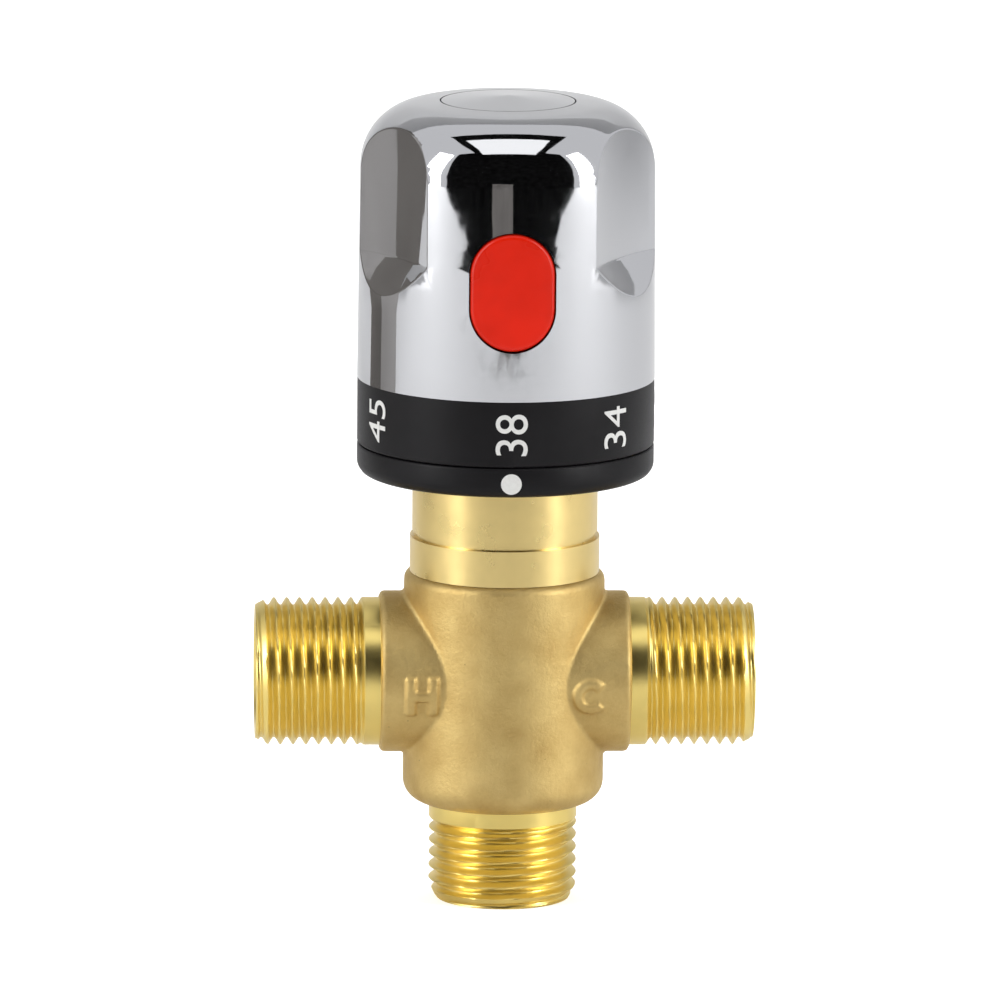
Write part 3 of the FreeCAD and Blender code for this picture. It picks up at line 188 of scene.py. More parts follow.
def pick(*things):
    """Selects these objects alone, the first one active."""
    deselect()
    for thing in things:
        thing.select_set(True)
    bpy.context.view_layer.objects.active = things[0]
    return things[0]


def named(name):
    """Names the object that an operator has just made."""
    made = bpy.context.active_object
    made.name = name
    made.data.name = name
    return made


def set_place(thing):
    """Puts an object's place, turn and scale into its mesh."""
    pick(thing)
    bpy.ops.object.transform_apply(location=True, rotation=True, scale=True)


def select_where(thing, test, domain="VERT"):
    """In edit mode, with only the vertices or edges whose ends all pass a test selected."""
    pick(thing)
    bpy.ops.object.mode_set(mode="EDIT")
    bpy.ops.mesh.select_mode(type=domain)
    bpy.ops.mesh.select_all(action="DESELECT")
    bpy.ops.object.mode_set(mode="OBJECT")
    mesh = thing.data
    if domain == "VERT":
        for vertex in mesh.vertices:
            vertex.select = test(vertex.co)
    else:
        for edge in mesh.edges:
            edge.select = all(test(mesh.vertices[index].co) for index in edge.vertices)
    bpy.ops.object.mode_set(mode="EDIT")


def leave_edit():
    """Back to object mode."""
    bpy.ops.object.mode_set(mode="OBJECT")


def apply(thing, kind, **settings):
    """Adds a modifier, sets it and applies it."""
    pick(thing)
    modifier = thing.modifiers.new(kind.title(), kind)
    for name, value in settings.items():
        setattr(modifier, name, value)
    bpy.ops.object.modifier_apply(modifier=modifier.name)


def combine(thing, tool, operation):
    """Joins a closed tool to a closed piece, or cuts it away, and removes the tool."""
    apply(thing, "BOOLEAN", object=tool, operation=operation, solver="EXACT")
    bpy.data.objects.remove(tool)


def merge(thing, distance=1e-6):
    """Merges doubles and turns the faces outwards."""
    pick(thing)
    bpy.ops.object.mode_set(mode="EDIT")
    bpy.ops.mesh.select_all(action="SELECT")
    bpy.ops.mesh.remove_doubles(threshold=distance)
    bpy.ops.mesh.normals_make_consistent(inside=False)
    leave_edit()


def slice_off(thing, point, normal):
    """Cuts a closed piece with a plane, drops the side the normal points to, and fills the cut."""
    pick(thing)
    bpy.ops.object.mode_set(mode="EDIT")
    bpy.ops.mesh.select_all(action="SELECT")
    bpy.ops.mesh.bisect(plane_co=point, plane_no=normal, use_fill=True, clear_outer=True,
                        threshold=CUT_TOLERANCE)
    leave_edit()


def smooth(thing, degrees=30):
    """Smooth shading, with edges sharper than an angle left crisp."""
    pick(thing)
    bpy.ops.object.shade_smooth_by_angle(angle=math.radians(degrees))


def dress(thing, material):
    """Gives a new piece its material."""
    thing.data.materials.clear()
    thing.data.materials.append(material)


def copy_of(node, name):
    """A copy of a CAD node with a mesh of its own, its doubles merged."""
    source = frame["nodes"][node]
    copied = source.copy()
    copied.data = source.data.copy()
    copied.name = name
    copied.data.name = name
    copied.parent = None
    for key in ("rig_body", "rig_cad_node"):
        if key in copied:
            del copied[key]
    bpy.context.scene.collection.objects.link(copied)
    pick(copied)
    bpy.ops.object.mode_set(mode="EDIT")
    bpy.ops.mesh.select_all(action="SELECT")
    bpy.ops.mesh.customdata_custom_splitnormals_clear()
    leave_edit()
    merge(copied)
    return copied


def cylinder(name, radius, low, high, axis="Z", corners=128):
    """A closed cylinder from one level to another along an axis of the frame."""
    middle = (low + high) / 2
    turns = {"X": (0, math.pi / 2, 0), "Z": (0, 0, 0)}
    place = (middle, 0, PORT_Z) if axis == "X" else (0, 0, middle)
    deselect()
    bpy.ops.mesh.primitive_cylinder_add(vertices=corners, radius=radius, depth=high - low,
                                        location=place, rotation=turns[axis])
    made = named(name)
    set_place(made)
    return made


def lathe(name, outline, steps=96):
    """A closed piece turned about the frame's Z axis from a closed outline of (radius, level)."""
    deselect()
    bpy.ops.mesh.primitive_circle_add(vertices=len(outline), radius=MM, fill_type="NOTHING")
    made = named(name)
    for vertex, (radius, level) in zip(made.data.vertices, outline):
        vertex.co = (radius, 0, level)
    bpy.ops.object.mode_set(mode="EDIT")
    bpy.ops.mesh.select_all(action="SELECT")
    bpy.ops.mesh.spin(steps=steps, angle=FULL_TURN, center=(0, 0, 0), axis=(0, 0, 1))
    leave_edit()
    merge(made)
    return made


# ---- Materials ----

def add_node(tree, kind, inputs=None, links=None, stops=(), **options):
    """Adds a node with its options, the values of its inputs, its links and its (position, colour) stops.

    A link comes from one output, or from the first output of a node."""
    made = tree.nodes.new(kind)
    for name, value in options.items():
        setattr(made, name, value)
    for name, value in (inputs or {}).items():
        made.inputs[name].default_value = value
    for name, source in (links or {}).items():
        output = source.outputs[0] if isinstance(source, bpy.types.Node) else source
        tree.links.new(output, made.inputs[name])
    if stops:
        elements = made.color_ramp.elements
        while len(elements) < len(stops):
            elements.new(0.5)
        for element, (position, colour) in zip(elements, stops):
            element.position = position
            element.color = (*colour, 1)
    return made


def finish_material(name, tree_filler):
    """A material whose node tree a function fills, given the tree and the object's coordinates."""
    material = bpy.data.materials.get(name)
    if material:
        return material
    material = bpy.data.materials.new(name)
    material.use_nodes = True
    tree = material.node_tree
    tree.nodes.clear()
    coordinates = add_node(tree, "ShaderNodeTexCoord").outputs["Object"]
    add_node(tree, "ShaderNodeOutputMaterial", links={"Surface": tree_filler(tree, coordinates)})
    return material


def per_mm(size):
    """The scale of a pattern whose features are about a size in millimetres."""
    return 1 / (size * MM)


def shade(colour, factor):
    """A colour made lighter or darker."""
    return tuple(min(1, channel * factor) for channel in colour)


def skin(tree, settings, colour, rough, *reliefs):
    """A surface from its settings, its colour, its roughness over a pattern, and its reliefs in turn.

    rough holds a pattern and the least and greatest roughness that it gives, and a relief holds a
    pattern, a depth in millimetres and a strength. colour is None where the settings give it."""
    pattern, smoothest, roughest = rough
    links = {"Roughness": add_node(tree, "ShaderNodeMapRange", {
        "From Min": 0.3, "From Max": 0.7, "To Min": smoothest, "To Max": roughest}, {"Value": pattern})}
    if colour is not None:
        links["Base Color"] = colour
    under = {}
    for height, depth_mm, strength in reliefs:
        under = {"Normal": add_node(tree, "ShaderNodeBump", {
            "Distance": depth_mm * MM, "Strength": strength}, {"Height": height, **under})}
    return add_node(tree, "ShaderNodeBsdfPrincipled", settings, {**links, **under})


def sand_cast_brass(tree, coordinates):
    """Sand-cast and tumbled brass: a dull tan gold, grained by the sand, with small faint pits whose shade
    is painted as darker specks.

    The sand's grain is about 0.2 mm, drawn at 0.5 mm so that it shows."""
    base = colours()
    mottle = add_node(tree, "ShaderNodeTexNoise", {"Scale": per_mm(5.0), "Detail": 4},
                      {"Vector": coordinates})
    grain = add_node(tree, "ShaderNodeTexNoise", {"Scale": per_mm(0.5), "Detail": 4, "Roughness": 0.65},
                     {"Vector": coordinates})
    pits = add_node(tree, "ShaderNodeTexVoronoi", {"Scale": per_mm(2.6), "Randomness": 1.0},
                    {"Vector": coordinates})
    tarnish = add_node(tree, "ShaderNodeValToRGB", links={"Fac": mottle}, stops=(
        (0.3, base.cast_dark), (0.62, base.cast), (0.8, shade(base.cast, 1.08))))
    # Painted shade: the pits are not modelled in relief, so the shade inside them is painted as darker
    # specks
    pit_painted_shade = add_node(tree, "ShaderNodeValToRGB", links={"Fac": pits}, stops=(
        (0.02, (0.6, 0.6, 0.6)), (0.06, (1, 1, 1))))
    pitted_with_painted_shade = add_node(tree, "ShaderNodeMix", {0: 1.0}, {6: tarnish, 7: pit_painted_shade}, data_type="RGBA",
                      blend_type="MULTIPLY")
    return skin(tree, {"Metallic": 1.0}, pitted_with_painted_shade.outputs[2], (grain, 0.48, 0.62),
                (grain, 0.1, 0.8), (mottle, 0.25, 0.5))


def turned_brass_along(axis, part="turned", smoothest=0.26):
    """Fills a tree for brass turned about an axis: bright, with fine tool rings and a faint tarnish.

    The tool's feed is about 0.1 mm a turn, drawn at 0.16 mm so that it shows."""
    along = tuple(float(axis == letter) for letter in "XYZ")

    def fill(tree, coordinates):
        base = getattr(colours(), part)
        rings = add_node(tree, "ShaderNodeMapping", {"Scale": along}, {"Vector": coordinates})
        feed = add_node(tree, "ShaderNodeTexNoise", {"Scale": per_mm(0.16), "Detail": 3, "Roughness": 0.7},
                        {"Vector": rings})
        bands = add_node(tree, "ShaderNodeTexNoise", {"Scale": per_mm(2.2), "Detail": 1},
                         {"Vector": rings})
        tarnish = add_node(tree, "ShaderNodeTexNoise", {"Scale": per_mm(4.0), "Detail": 2},
                           {"Vector": coordinates})
        colour = add_node(tree, "ShaderNodeValToRGB", links={"Fac": tarnish}, stops=(
            (0.3, shade(base, 0.94)), (0.5, base), (0.75, shade(base, 1.04))))
        return skin(tree, {"Metallic": 1.0}, colour, (tarnish, smoothest, smoothest + 0.07),
                    (feed, 0.012, 0.35), (bands, 0.05, 0.25))

    return fill


def bright_chrome(tree, coordinates):
    """Chromium plate over polished plastic: a near mirror with the faint waves of the moulding."""
    waves = add_node(tree, "ShaderNodeTexNoise", {"Scale": per_mm(7.0), "Detail": 1},
                     {"Vector": coordinates})
    haze = add_node(tree, "ShaderNodeTexNoise", {"Scale": per_mm(1.2), "Detail": 3},
                    {"Vector": coordinates})
    return skin(tree, {"Metallic": 1.0, "Base Color": (*colours().plate, 1)}, None,
                (haze, 0.03, 0.06), (waves, 0.05, 0.35))


def moulded_abs(part, specular, drift_mm, stops, texture_mm, rough, relief):
    """Fills a tree for moulded ABS: its colour drifts slowly, and its relief is the tool's texture.

    rough names the pattern, drift or texture, that its roughness follows."""

    def fill(tree, coordinates):
        base = getattr(colours(), part)
        drift = add_node(tree, "ShaderNodeTexNoise", {"Scale": per_mm(drift_mm), "Detail": 2},
                         {"Vector": coordinates})
        texture = add_node(tree, "ShaderNodeTexNoise", {"Scale": per_mm(texture_mm), "Detail": 2},
                           {"Vector": coordinates})
        colour = add_node(tree, "ShaderNodeValToRGB", links={"Fac": drift}, stops=[
            (position, shade(base, factor)) for position, factor in stops])
        pattern, smoothest, roughest = rough
        dulled_by = {"drift": drift, "texture": texture}[pattern]
        return skin(tree, {"IOR": 1.53, "Specular IOR Level": specular}, colour,
                    (dulled_by, smoothest, roughest), (texture, *relief))

    return fill


def grained(part, settings, grain_mm, stops, rough, relief):
    """Fills a tree for a finish whose colour, roughness and relief all follow one fine grain."""

    def fill(tree, coordinates):
        base = getattr(colours(), part)
        grain = add_node(tree, "ShaderNodeTexNoise", {"Scale": per_mm(grain_mm), "Detail": 3},
                         {"Vector": coordinates})
        colour = add_node(tree, "ShaderNodeValToRGB", links={"Fac": grain}, stops=[
            (position, shade(base, factor)) for position, factor in stops])
        return skin(tree, settings, colour, (grain, *rough), (grain, *relief))

    return fill


MOULDED_STOPS = ((0.3, 0.88), (0.7, 1.05))

FINISHES = {
    "sand_cast_brass": sand_cast_brass,
    "lathe_turned_brass": turned_brass_along("Z"),
    # The threads take the brighter, yellower brass colour: painted light bouncing in the grooves
    "threaded_brass_upright": turned_brass_along("Z", part="thread", smoothest=0.3),
    "threaded_brass_lying": turned_brass_along("X", part="thread", smoothest=0.3),
    "bright_chrome": bright_chrome,
    # Spark-eroded texture, which spreads the highlights: about 0.05 mm, drawn at 0.12 mm so that it shows
    "satin_black_abs": moulded_abs("black", 0.16, 9.0, ((0.35, 0.85), (0.65, 1.2)), 0.12,
                                   ("texture", 0.38, 0.48), (0.01, 0.4)),
    # Polished in the tool: an even orange red with a soft gloss
    "glossy_red_abs": moulded_abs("red", 0.25, 6.0, ((0.3, 0.94), (0.7, 1.08)), 0.4,
                                  ("drift", 0.26, 0.34), (0.004, 0.3)),
    # Pad-printed: a thin matt film, slightly uneven in its cover
    "white_pad_ink": grained("ink", {"IOR": 1.48}, 0.5, ((0.3, 0.93), (0.6, 1.0)), (0.45, 0.6),
                             (0.004, 0.3)),
    # Moulded and satin, a little uneven
    "white_acetal": grained("acetal", {"IOR": 1.5}, 0.5, MOULDED_STOPS, (0.4, 0.52), (0.01, 0.3)),
    # Moulded, dulled by the glass fibres at its surface
    "glass_filled_polymer": grained("polymer", {"IOR": 1.5}, 0.25, MOULDED_STOPS, (0.5, 0.62), (0.01, 0.3)),
    # Moulded and matt
    "nitrile_rubber": grained("rubber", {"IOR": 1.5}, 0.3, MOULDED_STOPS, (0.6, 0.72), (0.01, 0.3)),
    # Drawn or pressed: grey, with a fine grain that runs no one way
    "drawn_stainless": grained("steel", {"Metallic": 1.0}, 0.2, ((0.3, 0.85), (0.7, 1.0)), (0.22, 0.36),
                               (0.006, 0.3)),
}

SLOT_FINISHES = {
    "cast_brass": "sand_cast_brass",
    "turned_brass": "lathe_turned_brass",
    "chrome": "bright_chrome",
    "black_plastic": "satin_black_abs",
    "red_plastic": "glossy_red_abs",
    "white_plastic": "white_acetal",
    "grey_plastic": "glass_filled_polymer",
    "seal_rubber": "nitrile_rubber",
    "stainless": "drawn_stainless",
}


def finish(name):
    """One of the valve's materials."""
    return finish_material(name, FINISHES[name])


# ---- Operators ----

class VALVE_OT_finishes(bpy.types.Operator):
    """Give every CAD node its finish"""

    bl_idname = "valve.finishes"
    bl_label = "Finishes"

    def execute(self, context):
        for thing in frame["nodes"].values():
            for slot in thing.material_slots:
                slot.material = finish(SLOT_FINISHES[slot.material.name.split(".")[0]])
        return {"FINISHED"}


class VALVE_OT_casting(bpy.types.Operator):
    """Model the casting with the soft edges and fillets that a sand mould gives"""

    bl_idname = "valve.casting"
    bl_label = "Casting"

    def execute(self, context):
        casting = copy_of("valve_body", "casting")
        self.soften(casting)
        self.trim(casting)
        combine(casting, self.waterway(), "DIFFERENCE")
        smooth(casting, 35)
        dress(casting, finish("sand_cast_brass"))
        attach(casting, "root")
        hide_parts("valve_body")
        return {"FINISHED"}

    def soften(self, casting):
        """Fills the waterways, then lets the smallest edge of the mould round every corner."""
        grain = sizes().cast_grain
        bore = sizes().waterway + grain
        fillings = [cylinder("filling_outlet", bore, grain, CAGE_BOTTOM + grain),
                    cylinder("filling_chamber", CAGE_RADIUS + 4 * grain, CAGE_BOTTOM - grain, BODY_TOP),
                    cylinder("filling_neck", BODY_RADIUS - 3 * grain, CAGE_TOP - grain, BODY_TOP),
                    cylinder("filling_inlets", bore, grain - PORT_REACH, PORT_REACH - grain, axis="X")]
        pick(casting, *fillings)
        bpy.ops.object.join()
        apply(casting, "REMESH", mode="VOXEL", voxel_size=grain)
        apply(casting, "SMOOTH", factor=0.5, iterations=4)

    def trim(self, casting):
        """Cuts the casting where its turned ends begin."""
        lap = 0.05 * MM
        reach = sizes().boss_reach + lap
        slice_off(casting, (0, 0, sizes().outlet_length - lap), (0, 0, -1))
        slice_off(casting, (0, 0, BODY_TOP - lap), (0, 0, 1))
        for side in (-1, 1):
            slice_off(casting, (side * reach, 0, 0), (side, 0, 0))

    def waterway(self):
        """The tool that opens the outlet, the chamber and the inlets again."""
        bore = sizes().waterway
        chamber_gap = 0.05 * MM
        thread_gap = 1.05 * MM
        seat_gap = 2.05 * MM
        seat_depth = 1.6 * MM
        past_check = 1.5 * MM
        tool = cylinder("waterway", bore, 0, CAGE_BOTTOM + MM)
        parts = [
            cylinder("chamber", CAGE_RADIUS + chamber_gap, CAGE_BOTTOM, CAGE_TOP + MM),
            cylinder("neck_thread", CAGE_RADIUS + thread_gap, CAGE_TOP, BODY_TOP),
            cylinder("neck_seat", CAGE_RADIUS + seat_gap, BODY_TOP - seat_depth, BODY_TOP + MM),
            cylinder("hot_way", bore, -sizes().boss_reach - MM, -CHECK_INNER + past_check, axis="X"),
            cylinder("cold_way", bore, CHECK_INNER - past_check, sizes().boss_reach + MM, axis="X")]
        for part in parts:
            combine(tool, part, "UNION")
        return tool


class VALVE_OT_threads(bpy.types.Operator):
    """Model the three threaded ends with real pipe threads"""

    bl_idname = "valve.threads"
    bl_label = "Threaded ends"

    def execute(self, context):
        outlet = self.threaded_end("outlet_end", sizes().outlet_length)
        self.fit(outlet, Matrix.Identity(4), "threaded_brass_upright")
        hot = self.threaded_end("hot_end", PORT_REACH - sizes().boss_reach)
        cold = hot.copy()
        cold.data = hot.data.copy()
        cold.name = "cold_end"
        cold.data.name = "cold_end"
        bpy.context.scene.collection.objects.link(cold)
        for end, side in ((hot, -1), (cold, 1)):
            to_side = Matrix.Translation((side * PORT_REACH, 0, PORT_Z))
            self.fit(end, to_side @ Matrix.Rotation(-side * math.pi / 2, 4, "Y"), "threaded_brass_lying")
        return {"FINISHED"}

    def threaded_end(self, name, length):
        """One end, upright: its mouth at level 0, its thread, and its collar up to a length."""
        end = lathe(name, self.outline(length))
        top = length - sizes().collar
        outermost = THREAD_RADIUS - 0.01 * MM
        for vertex in end.data.vertices:
            radius = math.hypot(vertex.co.x, vertex.co.y)
            if radius > outermost and vertex.co.z < top:
                angle = math.atan2(vertex.co.y, vertex.co.x)
                factor = self.wall(angle, vertex.co.z, top) / radius
                vertex.co = (vertex.co.x * factor, vertex.co.y * factor, vertex.co.z)
        return end

    def fit(self, end, place, material):
        """Puts an end in its place on the casting and finishes it."""
        end.data.transform(place)
        end.data.update()
        smooth(end, 32)
        dress(end, finish(material))
        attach(end, "root")

    def outline(self, length):
        """Half of the end's section, from the bore round the mouth to the foot inside the casting."""
        foot = length + 0.2 * MM
        bore = sizes().waterway - 0.02 * MM
        lip = bore + sizes().mouth_chamfer
        top = length - sizes().collar
        rings_a_pitch = 14
        count = math.ceil(top / sizes().pitch * rings_a_pitch)
        wall = [(THREAD_RADIUS, top * step / count) for step in range(count + 1)]
        return [(bore, foot), (bore, sizes().mouth_chamfer), (lip, 0), *wall, (THREAD_RADIUS, foot)]

    def wall(self, angle, level, top):
        """Radius of the threaded wall: a helix that is turned down at the mouth and runs out above."""
        turn = level / sizes().pitch - angle / FULL_TURN
        sharp = 1 - abs(math.sin(FULL_TURN / 2 * turn))
        rounded = (1 + math.cos(FULL_TURN * turn)) / 2
        cut = sizes().thread_depth * (1 - 0.75 * rounded - 0.25 * sharp)
        run_out = min(1, (top - level) / (sizes().pitch * 0.5))
        turned_down_slope = 0.5
        turned_down = THREAD_RADIUS - sizes().end_chamfer + level * turned_down_slope
        return min(THREAD_RADIUS - cut * run_out, turned_down)


class VALVE_OT_shell(bpy.types.Operator):
    """Give the plated shell the unbroken skin that polishing and plating leave"""

    bl_idname = "valve.shell"
    bl_label = "Plated shell"

    def execute(self, context):
        shell = copy_of("knob_shell", "plated_shell")
        smooth(shell, 25)
        dress(shell, finish("bright_chrome"))
        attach(shell, "knob")
        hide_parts("knob_shell")
        return {"FINISHED"}


class VALVE_OT_springs(bpy.types.Operator):
    """Put smoothed stainless copies of three springs in place of their CAD nodes"""

    bl_idname = "valve.springs"
    bl_label = "Springs that close up"

    def execute(self, context):
        along_x, along_y = 0, 1
        low, high = 0, 1
        for node, resting, moving, axis, moving_end in (
                ("hot_check_spring", "root", "hot_poppet", along_x, low),
                ("cold_check_spring", "root", "cold_poppet", along_x, high),
                ("button_spring", "knob", "button", along_y, low)):
            still = self.end_of(node, axis, low if moving_end == high else high)
            moved = self.end_of(node, axis, moving_end)
            coil = copy_of(node, "coil_" + node)
            smooth(coil, 40)
            dress(coil, finish("drawn_stainless"))
            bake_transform(coil)
            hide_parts(node)
        return {"FINISHED"}

    def end_of(self, node, axis, end):
        """The middle of a node's lowest (0) or highest (1) face along an axis."""
        spot = (corner(node, 0) + corner(node, 1)) / 2
        spot[axis] = corner(node, end)[axis]
        return tuple(spot)


class VALVE_OT_scale(bpy.types.Operator):
    """Print the numbers on the dial ring and the dot on the fixed ring"""

    bl_idname = "valve.scale"
    bl_label = "Scale"

    numbers = {"34": 45, "38": 0, "45": -62, "50": -106, "30": 94}    # degrees from the front

    def execute(self, context):
        for node, body in (("dial_ring", "knob"), ("pointer_ring", "root")):
            self.easy_ring(node, body)
        for number, degrees in self.numbers.items():
            self.print_number(number, degrees)
        self.print_dot()
        return {"FINISHED"}

    def easy_ring(self, node, body):
        """The ring itself, turned down by a little more than the ink's thickness."""
        ring = copy_of(node, node + "_moulding")
        factor = 1 - 1.6 * sizes().ink / RING_RADIUS
        select_where(ring, lambda spot: math.hypot(spot.x, spot.y) > RING_RADIUS - 0.6 * MM)
        bpy.ops.transform.resize(value=(factor, factor, 1), center_override=(0, 0, 0))
        leave_edit()
        smooth(ring, 30)
        dress(ring, finish("satin_black_abs"))
        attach(ring, body)
        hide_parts(node)

    def print_number(self, number, degrees):
        """One number, reading upwards, wrapped round the dial ring."""
        cap_share = 0.73            # of the type's size
        deselect()
        bpy.ops.object.text_add()
        text = bpy.context.active_object
        text.data.body = number
        text.data.align_x = "CENTER"
        text.data.align_y = "CENTER"
        text.data.size = sizes().numeral_height / cap_share
        text.data.space_character = 1.02
        text.data.resolution_u = 6
        pick(text)
        bpy.ops.object.convert(target="MESH")
        label = named("number_" + number)
        self.centre(label)
        label.rotation_euler = (0, 0, math.pi / 2)
        set_place(label)
        self.wrap(label, degrees, (DIAL_BOTTOM + DIAL_TOP) / 2)
        dress(label, finish("white_pad_ink"))
        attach(label, "knob")

    def centre(self, flat):
        """Moves a flat outline so that its box is centred."""
        corners = [Vector(spot) for spot in flat.bound_box]
        flat.location = -(corners[0] + corners[6]) / 2
        set_place(flat)

    def wrap(self, flat, degrees, level):
        """Lays a flat outline on the ring at an angle from the front and gives it its thickness."""
        strip = 0.3 * MM
        pick(flat)
        bpy.ops.object.mode_set(mode="EDIT")
        for place in range(-9, 10):
            bpy.ops.mesh.select_all(action="SELECT")
            bpy.ops.mesh.bisect(plane_co=(place * strip, 0, 0), plane_no=(1, 0, 0),
                                threshold=CUT_TOLERANCE)
        leave_edit()
        under = RING_RADIUS - 1.7 * sizes().ink
        for vertex in flat.data.vertices:
            angle = math.radians(degrees) + vertex.co.x / RING_RADIUS
            vertex.co = (under * math.sin(angle), -under * math.cos(angle), level + vertex.co.y)
        apply(flat, "SOLIDIFY", thickness=sizes().ink * 1.5, offset=1)
        merge(flat)
        smooth(flat, 40)

    def print_dot(self):
        """The white dot that the scale is read against."""
        deselect()
        bpy.ops.mesh.primitive_circle_add(vertices=64, radius=sizes().dot / 2, fill_type="NGON")
        dot = named("dot")
        self.wrap(dot, 0, (POINTER_BOTTOM + POINTER_TOP) / 2)
        dress(dot, finish("white_pad_ink"))
        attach(dot, "root")


class VALVE_OT_stage(bpy.types.Operator):
    """Set the floor, the soft lights, the dark end wall and the camera"""

    bl_idname = "valve.stage"
    bl_label = "Stage"

    def execute(self, context):
        for thing in [item for item in bpy.data.objects if item.name in ("Cube", "Light", "Camera")]:
            bpy.data.objects.remove(thing)
        self.floor()
        self.cards()
        self.lamps()
        self.world()
        self.camera()
        context.scene.view_settings.view_transform = "Standard"
        return {"FINISHED"}

    def floor(self):
        """A pale sheet that runs up behind the valve in a wide curve, its front edge near the valve."""
        wide, deep, tall = 3.2, 1.66, 1.8
        behind = 0.33               # from the valve's axis to the sheet's middle
        bend = 0.5
        deselect()
        bpy.ops.mesh.primitive_plane_add(size=1)
        sheet = named("studio_floor")
        sheet.scale = (wide, deep, 1)
        sheet.location = (0, behind, 0)
        set_place(sheet)
        select_where(sheet, lambda spot: spot.y > behind, domain="EDGE")
        bpy.ops.mesh.extrude_region_move(TRANSFORM_OT_translate={"value": (0, 0, tall)})
        leave_edit()
        select_where(sheet, lambda spot: spot.y > behind and spot.z < bend, domain="EDGE")
        bpy.ops.mesh.bevel(offset=bend, segments=12)
        leave_edit()
        smooth(sheet, 40)
        sheet.data.materials.append(finish_material("studio_paper", self.paper))

    def paper(self, tree, coordinates):
        """Matt white paper, lifted to plain white for the camera, which looks through it from behind."""
        base = colours().floor
        fibre = add_node(tree, "ShaderNodeTexNoise", {"Scale": per_mm(2.0), "Detail": 3},
                         {"Vector": coordinates})
        colour = add_node(tree, "ShaderNodeValToRGB", links={"Fac": fibre}, stops=(
            (0.3, shade(base, 0.98)), (0.7, base)))
        matt = add_node(tree, "ShaderNodeBsdfDiffuse", links={"Color": colour})
        glow = add_node(tree, "ShaderNodeEmission", {"Strength": 0.75}, {"Color": colour})
        both = add_node(tree, "ShaderNodeAddShader", links={0: matt, 1: glow})
        seen = add_node(tree, "ShaderNodeLightPath").outputs["Is Camera Ray"]
        front = add_node(tree, "ShaderNodeMixShader", links={0: seen, 1: matt, 2: both})
        back = add_node(tree, "ShaderNodeNewGeometry").outputs["Backfacing"]
        behind = add_node(tree, "ShaderNodeMath", links={0: back, 1: seen}, operation="MULTIPLY")
        clear = add_node(tree, "ShaderNodeBsdfTransparent")
        return add_node(tree, "ShaderNodeMixShader", links={0: behind, 1: front, 2: clear})

    def cards(self):
        """What the chrome mirrors: a dark end of the room, a panel, a stand and two flags.

        Each has its azimuth from the front in degrees, its distance from the valve's axis, the level of
        its middle, its width and height, and its tilt from level."""
        black = finish_material("studio_black", self.cloth("#0A0A0A", "#1A1A1A"))
        grey = finish_material("studio_grey", self.cloth("#6E6A66", "#8C8883"))
        pale = finish_material("studio_pale", self.cloth("#A6A3A0", "#B8B5B2"))
        white = finish_material("studio_panel", self.panel)
        for name, material, azimuth, distance, level, wide, tall, tilt in (
                ("studio_end_wall", black, 0, 2.2, 1.4, 5.4, 4.4, 90),
                ("studio_ceiling", black, 0, 0.9, 3.5, 3.4, 2.7, 0),
                ("studio_panel", white, 0, 0.95, 2.4, 1.8, 1.5, 0),
                ("studio_stand", grey, -6, 1.6, -0.4, 0.45, 1.1, 90),
                ("studio_flag_dark", grey, -122, 0.42, 0.2, 0.12, 0.5, 90),
                ("studio_flag_pale", pale, -105, 0.42, 0.2, 0.14, 0.5, 90)):
            angle = math.radians(azimuth)
            deselect()
            bpy.ops.mesh.primitive_plane_add(size=1)
            card = named(name)
            card.scale = (wide, tall, 1)
            card.rotation_euler = (math.radians(tilt), 0, angle)
            card.location = (distance * math.sin(angle), -distance * math.cos(angle), level)
            set_place(card)
            card.data.materials.append(material)
            card.visible_camera = False

    def cloth(self, low, high):
        """Fills a tree for cloth with a little unevenness between two colours."""

        def fill(tree, coordinates):
            folds = add_node(tree, "ShaderNodeTexNoise", {"Scale": per_mm(200), "Detail": 2},
                             {"Vector": coordinates})
            colour = add_node(tree, "ShaderNodeValToRGB", links={"Fac": folds}, stops=(
                (0.3, to_linear(low)), (0.7, to_linear(high))))
            return add_node(tree, "ShaderNodeBsdfDiffuse", links={"Color": colour})

        return fill

    def panel(self, tree, coordinates):
        """A lamp panel's glowing cloth."""
        weave = add_node(tree, "ShaderNodeTexNoise", {"Scale": per_mm(30), "Detail": 1},
                         {"Vector": coordinates})
        colour = add_node(tree, "ShaderNodeValToRGB", links={"Fac": weave}, stops=(
            (0.3, to_linear("#F4F4F4")), (0.7, to_linear("#FFFFFF"))))
        return add_node(tree, "ShaderNodeEmission", {"Strength": 1.5}, {"Color": colour})

    def lamps(self):
        """A soft box at each side, and one overhead that no surface mirrors."""
        middle = Vector((0, 0, 0.06))
        for name, azimuth, distance, level, wide, tall, power in (
                ("soft_left", -62, 0.9, 0.35, 0.2, 0.9, 5.0),
                ("soft_right", 62, 0.9, 0.35, 0.2, 0.9, 5.0),
                ("soft_top", 180, 0.7, 1.2, 1.5, 1.3, 8.4)):
            angle = math.radians(azimuth)
            place = Vector((distance * math.sin(angle), -distance * math.cos(angle), level))
            lamp = bpy.data.lights.new(name, "AREA")
            lamp.shape = "RECTANGLE"
            lamp.size = wide
            lamp.size_y = tall
            lamp.energy = power
            holder = bpy.data.objects.new(name, lamp)
            holder.location = place
            holder.visible_glossy = name != "soft_top"
            aim = middle - place
            holder.rotation_euler = aim.to_track_quat("-Z", "Y").to_euler()
            bpy.context.scene.collection.objects.link(holder)

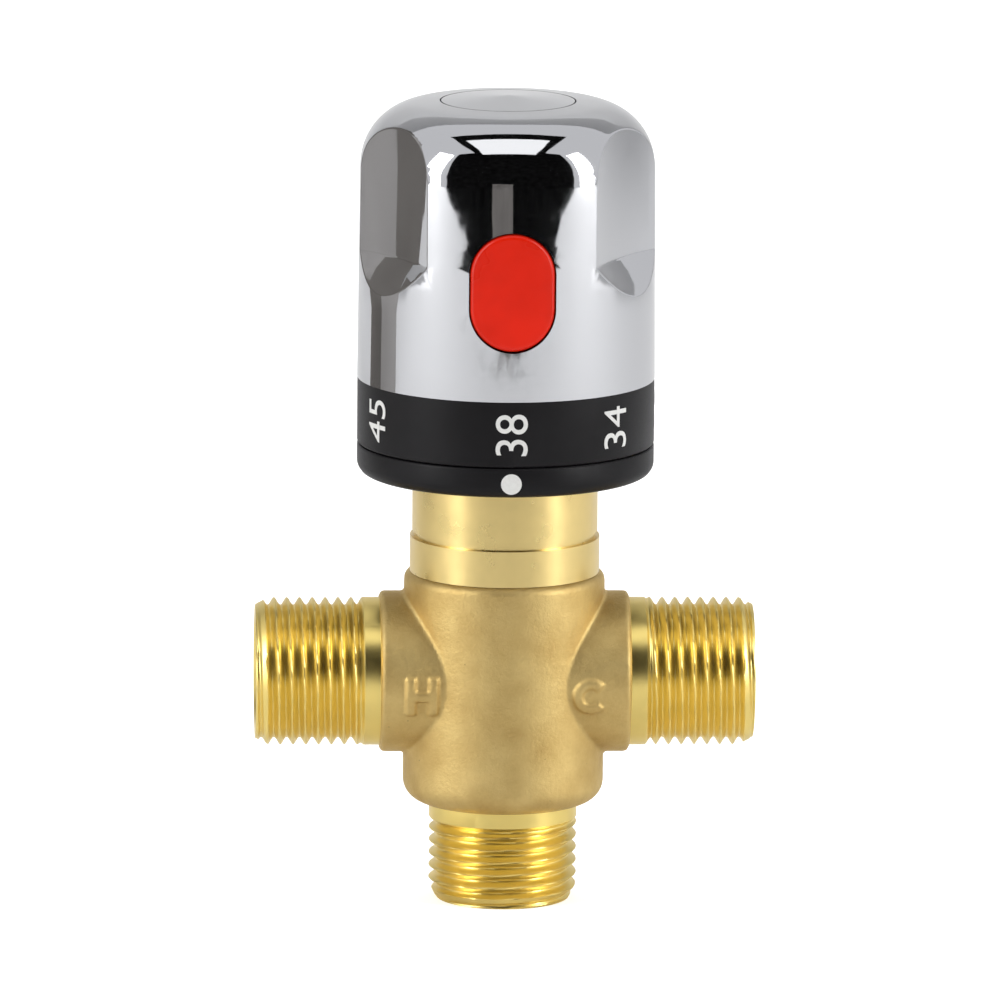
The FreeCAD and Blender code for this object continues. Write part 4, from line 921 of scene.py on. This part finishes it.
    def world(self):
        """Even pale light from all round, plain white where the camera sees it."""
        world = bpy.data.worlds.new("studio_light")
        bpy.context.scene.world = world
        world.use_nodes = True
        tree = world.node_tree
        tree.nodes.clear()
        pale = (*to_linear("#E8E8EA"), 1)
        light = add_node(tree, "ShaderNodeBackground", {"Color": pale, "Strength": 0.96})
        plain = add_node(tree, "ShaderNodeBackground", {"Color": (1, 1, 1, 1), "Strength": 1.0})
        seen = add_node(tree, "ShaderNodeLightPath").outputs["Is Camera Ray"]
        both = add_node(tree, "ShaderNodeMixShader", links={0: seen, 1: light, 2: plain})
        add_node(tree, "ShaderNodeOutputWorld", links={"Surface": both})

    def camera(self):
        """A long lens, a little to the left and above, rolled by half a degree."""
        elevation = math.radians(11)
        azimuth = math.radians(-2.4)
        distance = 1.9
        half_frame = 70.6 * MM      # half of what the frame shows at the valve
        target = Vector((-0.7 * MM, 0, 57.1 * MM))
        direction = Vector((math.sin(azimuth) * math.cos(elevation),
                            -math.cos(azimuth) * math.cos(elevation), math.sin(elevation)))
        lens = bpy.data.cameras.new("camera")
        lens.angle = 2 * math.atan(half_frame / distance)
        lens.clip_start = 0.01
        holder = bpy.data.objects.new("camera", lens)
        turn = (-direction).to_track_quat("-Z", "Y").to_matrix().to_4x4()
        roll = Matrix.Rotation(math.radians(0.45), 4, "Z")
        holder.matrix_world = Matrix.Translation(target + direction * distance) @ turn @ roll
        bpy.context.scene.collection.objects.link(holder)
        bpy.context.scene.camera = holder


class VALVE_PT_sidebar(bpy.types.Panel):
    """The valve's pieces, sizes and colours"""

    bl_idname = "VALVE_PT_sidebar"
    bl_label = "Mixing valve"
    bl_space_type = "VIEW_3D"
    bl_region_type = "UI"
    bl_category = "Valve"

    def draw(self, context):
        layout = self.layout
        for operator in OPERATORS:
            layout.operator(operator.bl_idname)
        for group in (context.scene.valve_sizes, context.scene.valve_colours):
            column = layout.column()
            for name in group.__annotations__:
                column.prop(group, name)


OPERATORS = (VALVE_OT_finishes, VALVE_OT_casting, VALVE_OT_threads, VALVE_OT_shell, VALVE_OT_springs,
             VALVE_OT_scale, VALVE_OT_stage)
CLASSES = (ValveSizes, ValveColours, *OPERATORS, VALVE_PT_sidebar)


def register():
    """Registers the classes and hangs the sizes and colours on the scene."""
    for item in CLASSES:
        bpy.utils.register_class(item)
    bpy.types.Scene.valve_sizes = PointerProperty(type=ValveSizes)
    bpy.types.Scene.valve_colours = PointerProperty(type=ValveColours)


def unregister():
    """Takes them away again."""
    del bpy.types.Scene.valve_colours
    del bpy.types.Scene.valve_sizes
    for item in reversed(CLASSES):
        bpy.utils.unregister_class(item)


def main():
    """Builds the whole dressed valve."""
    register()
    bpy.ops.valve.finishes()
    bpy.ops.valve.casting()
    bpy.ops.valve.threads()
    bpy.ops.valve.shell()
    bpy.ops.valve.springs()
    bpy.ops.valve.scale()
    bpy.ops.valve.stage()
    deselect()


if __name__ == "__main__":
    main()
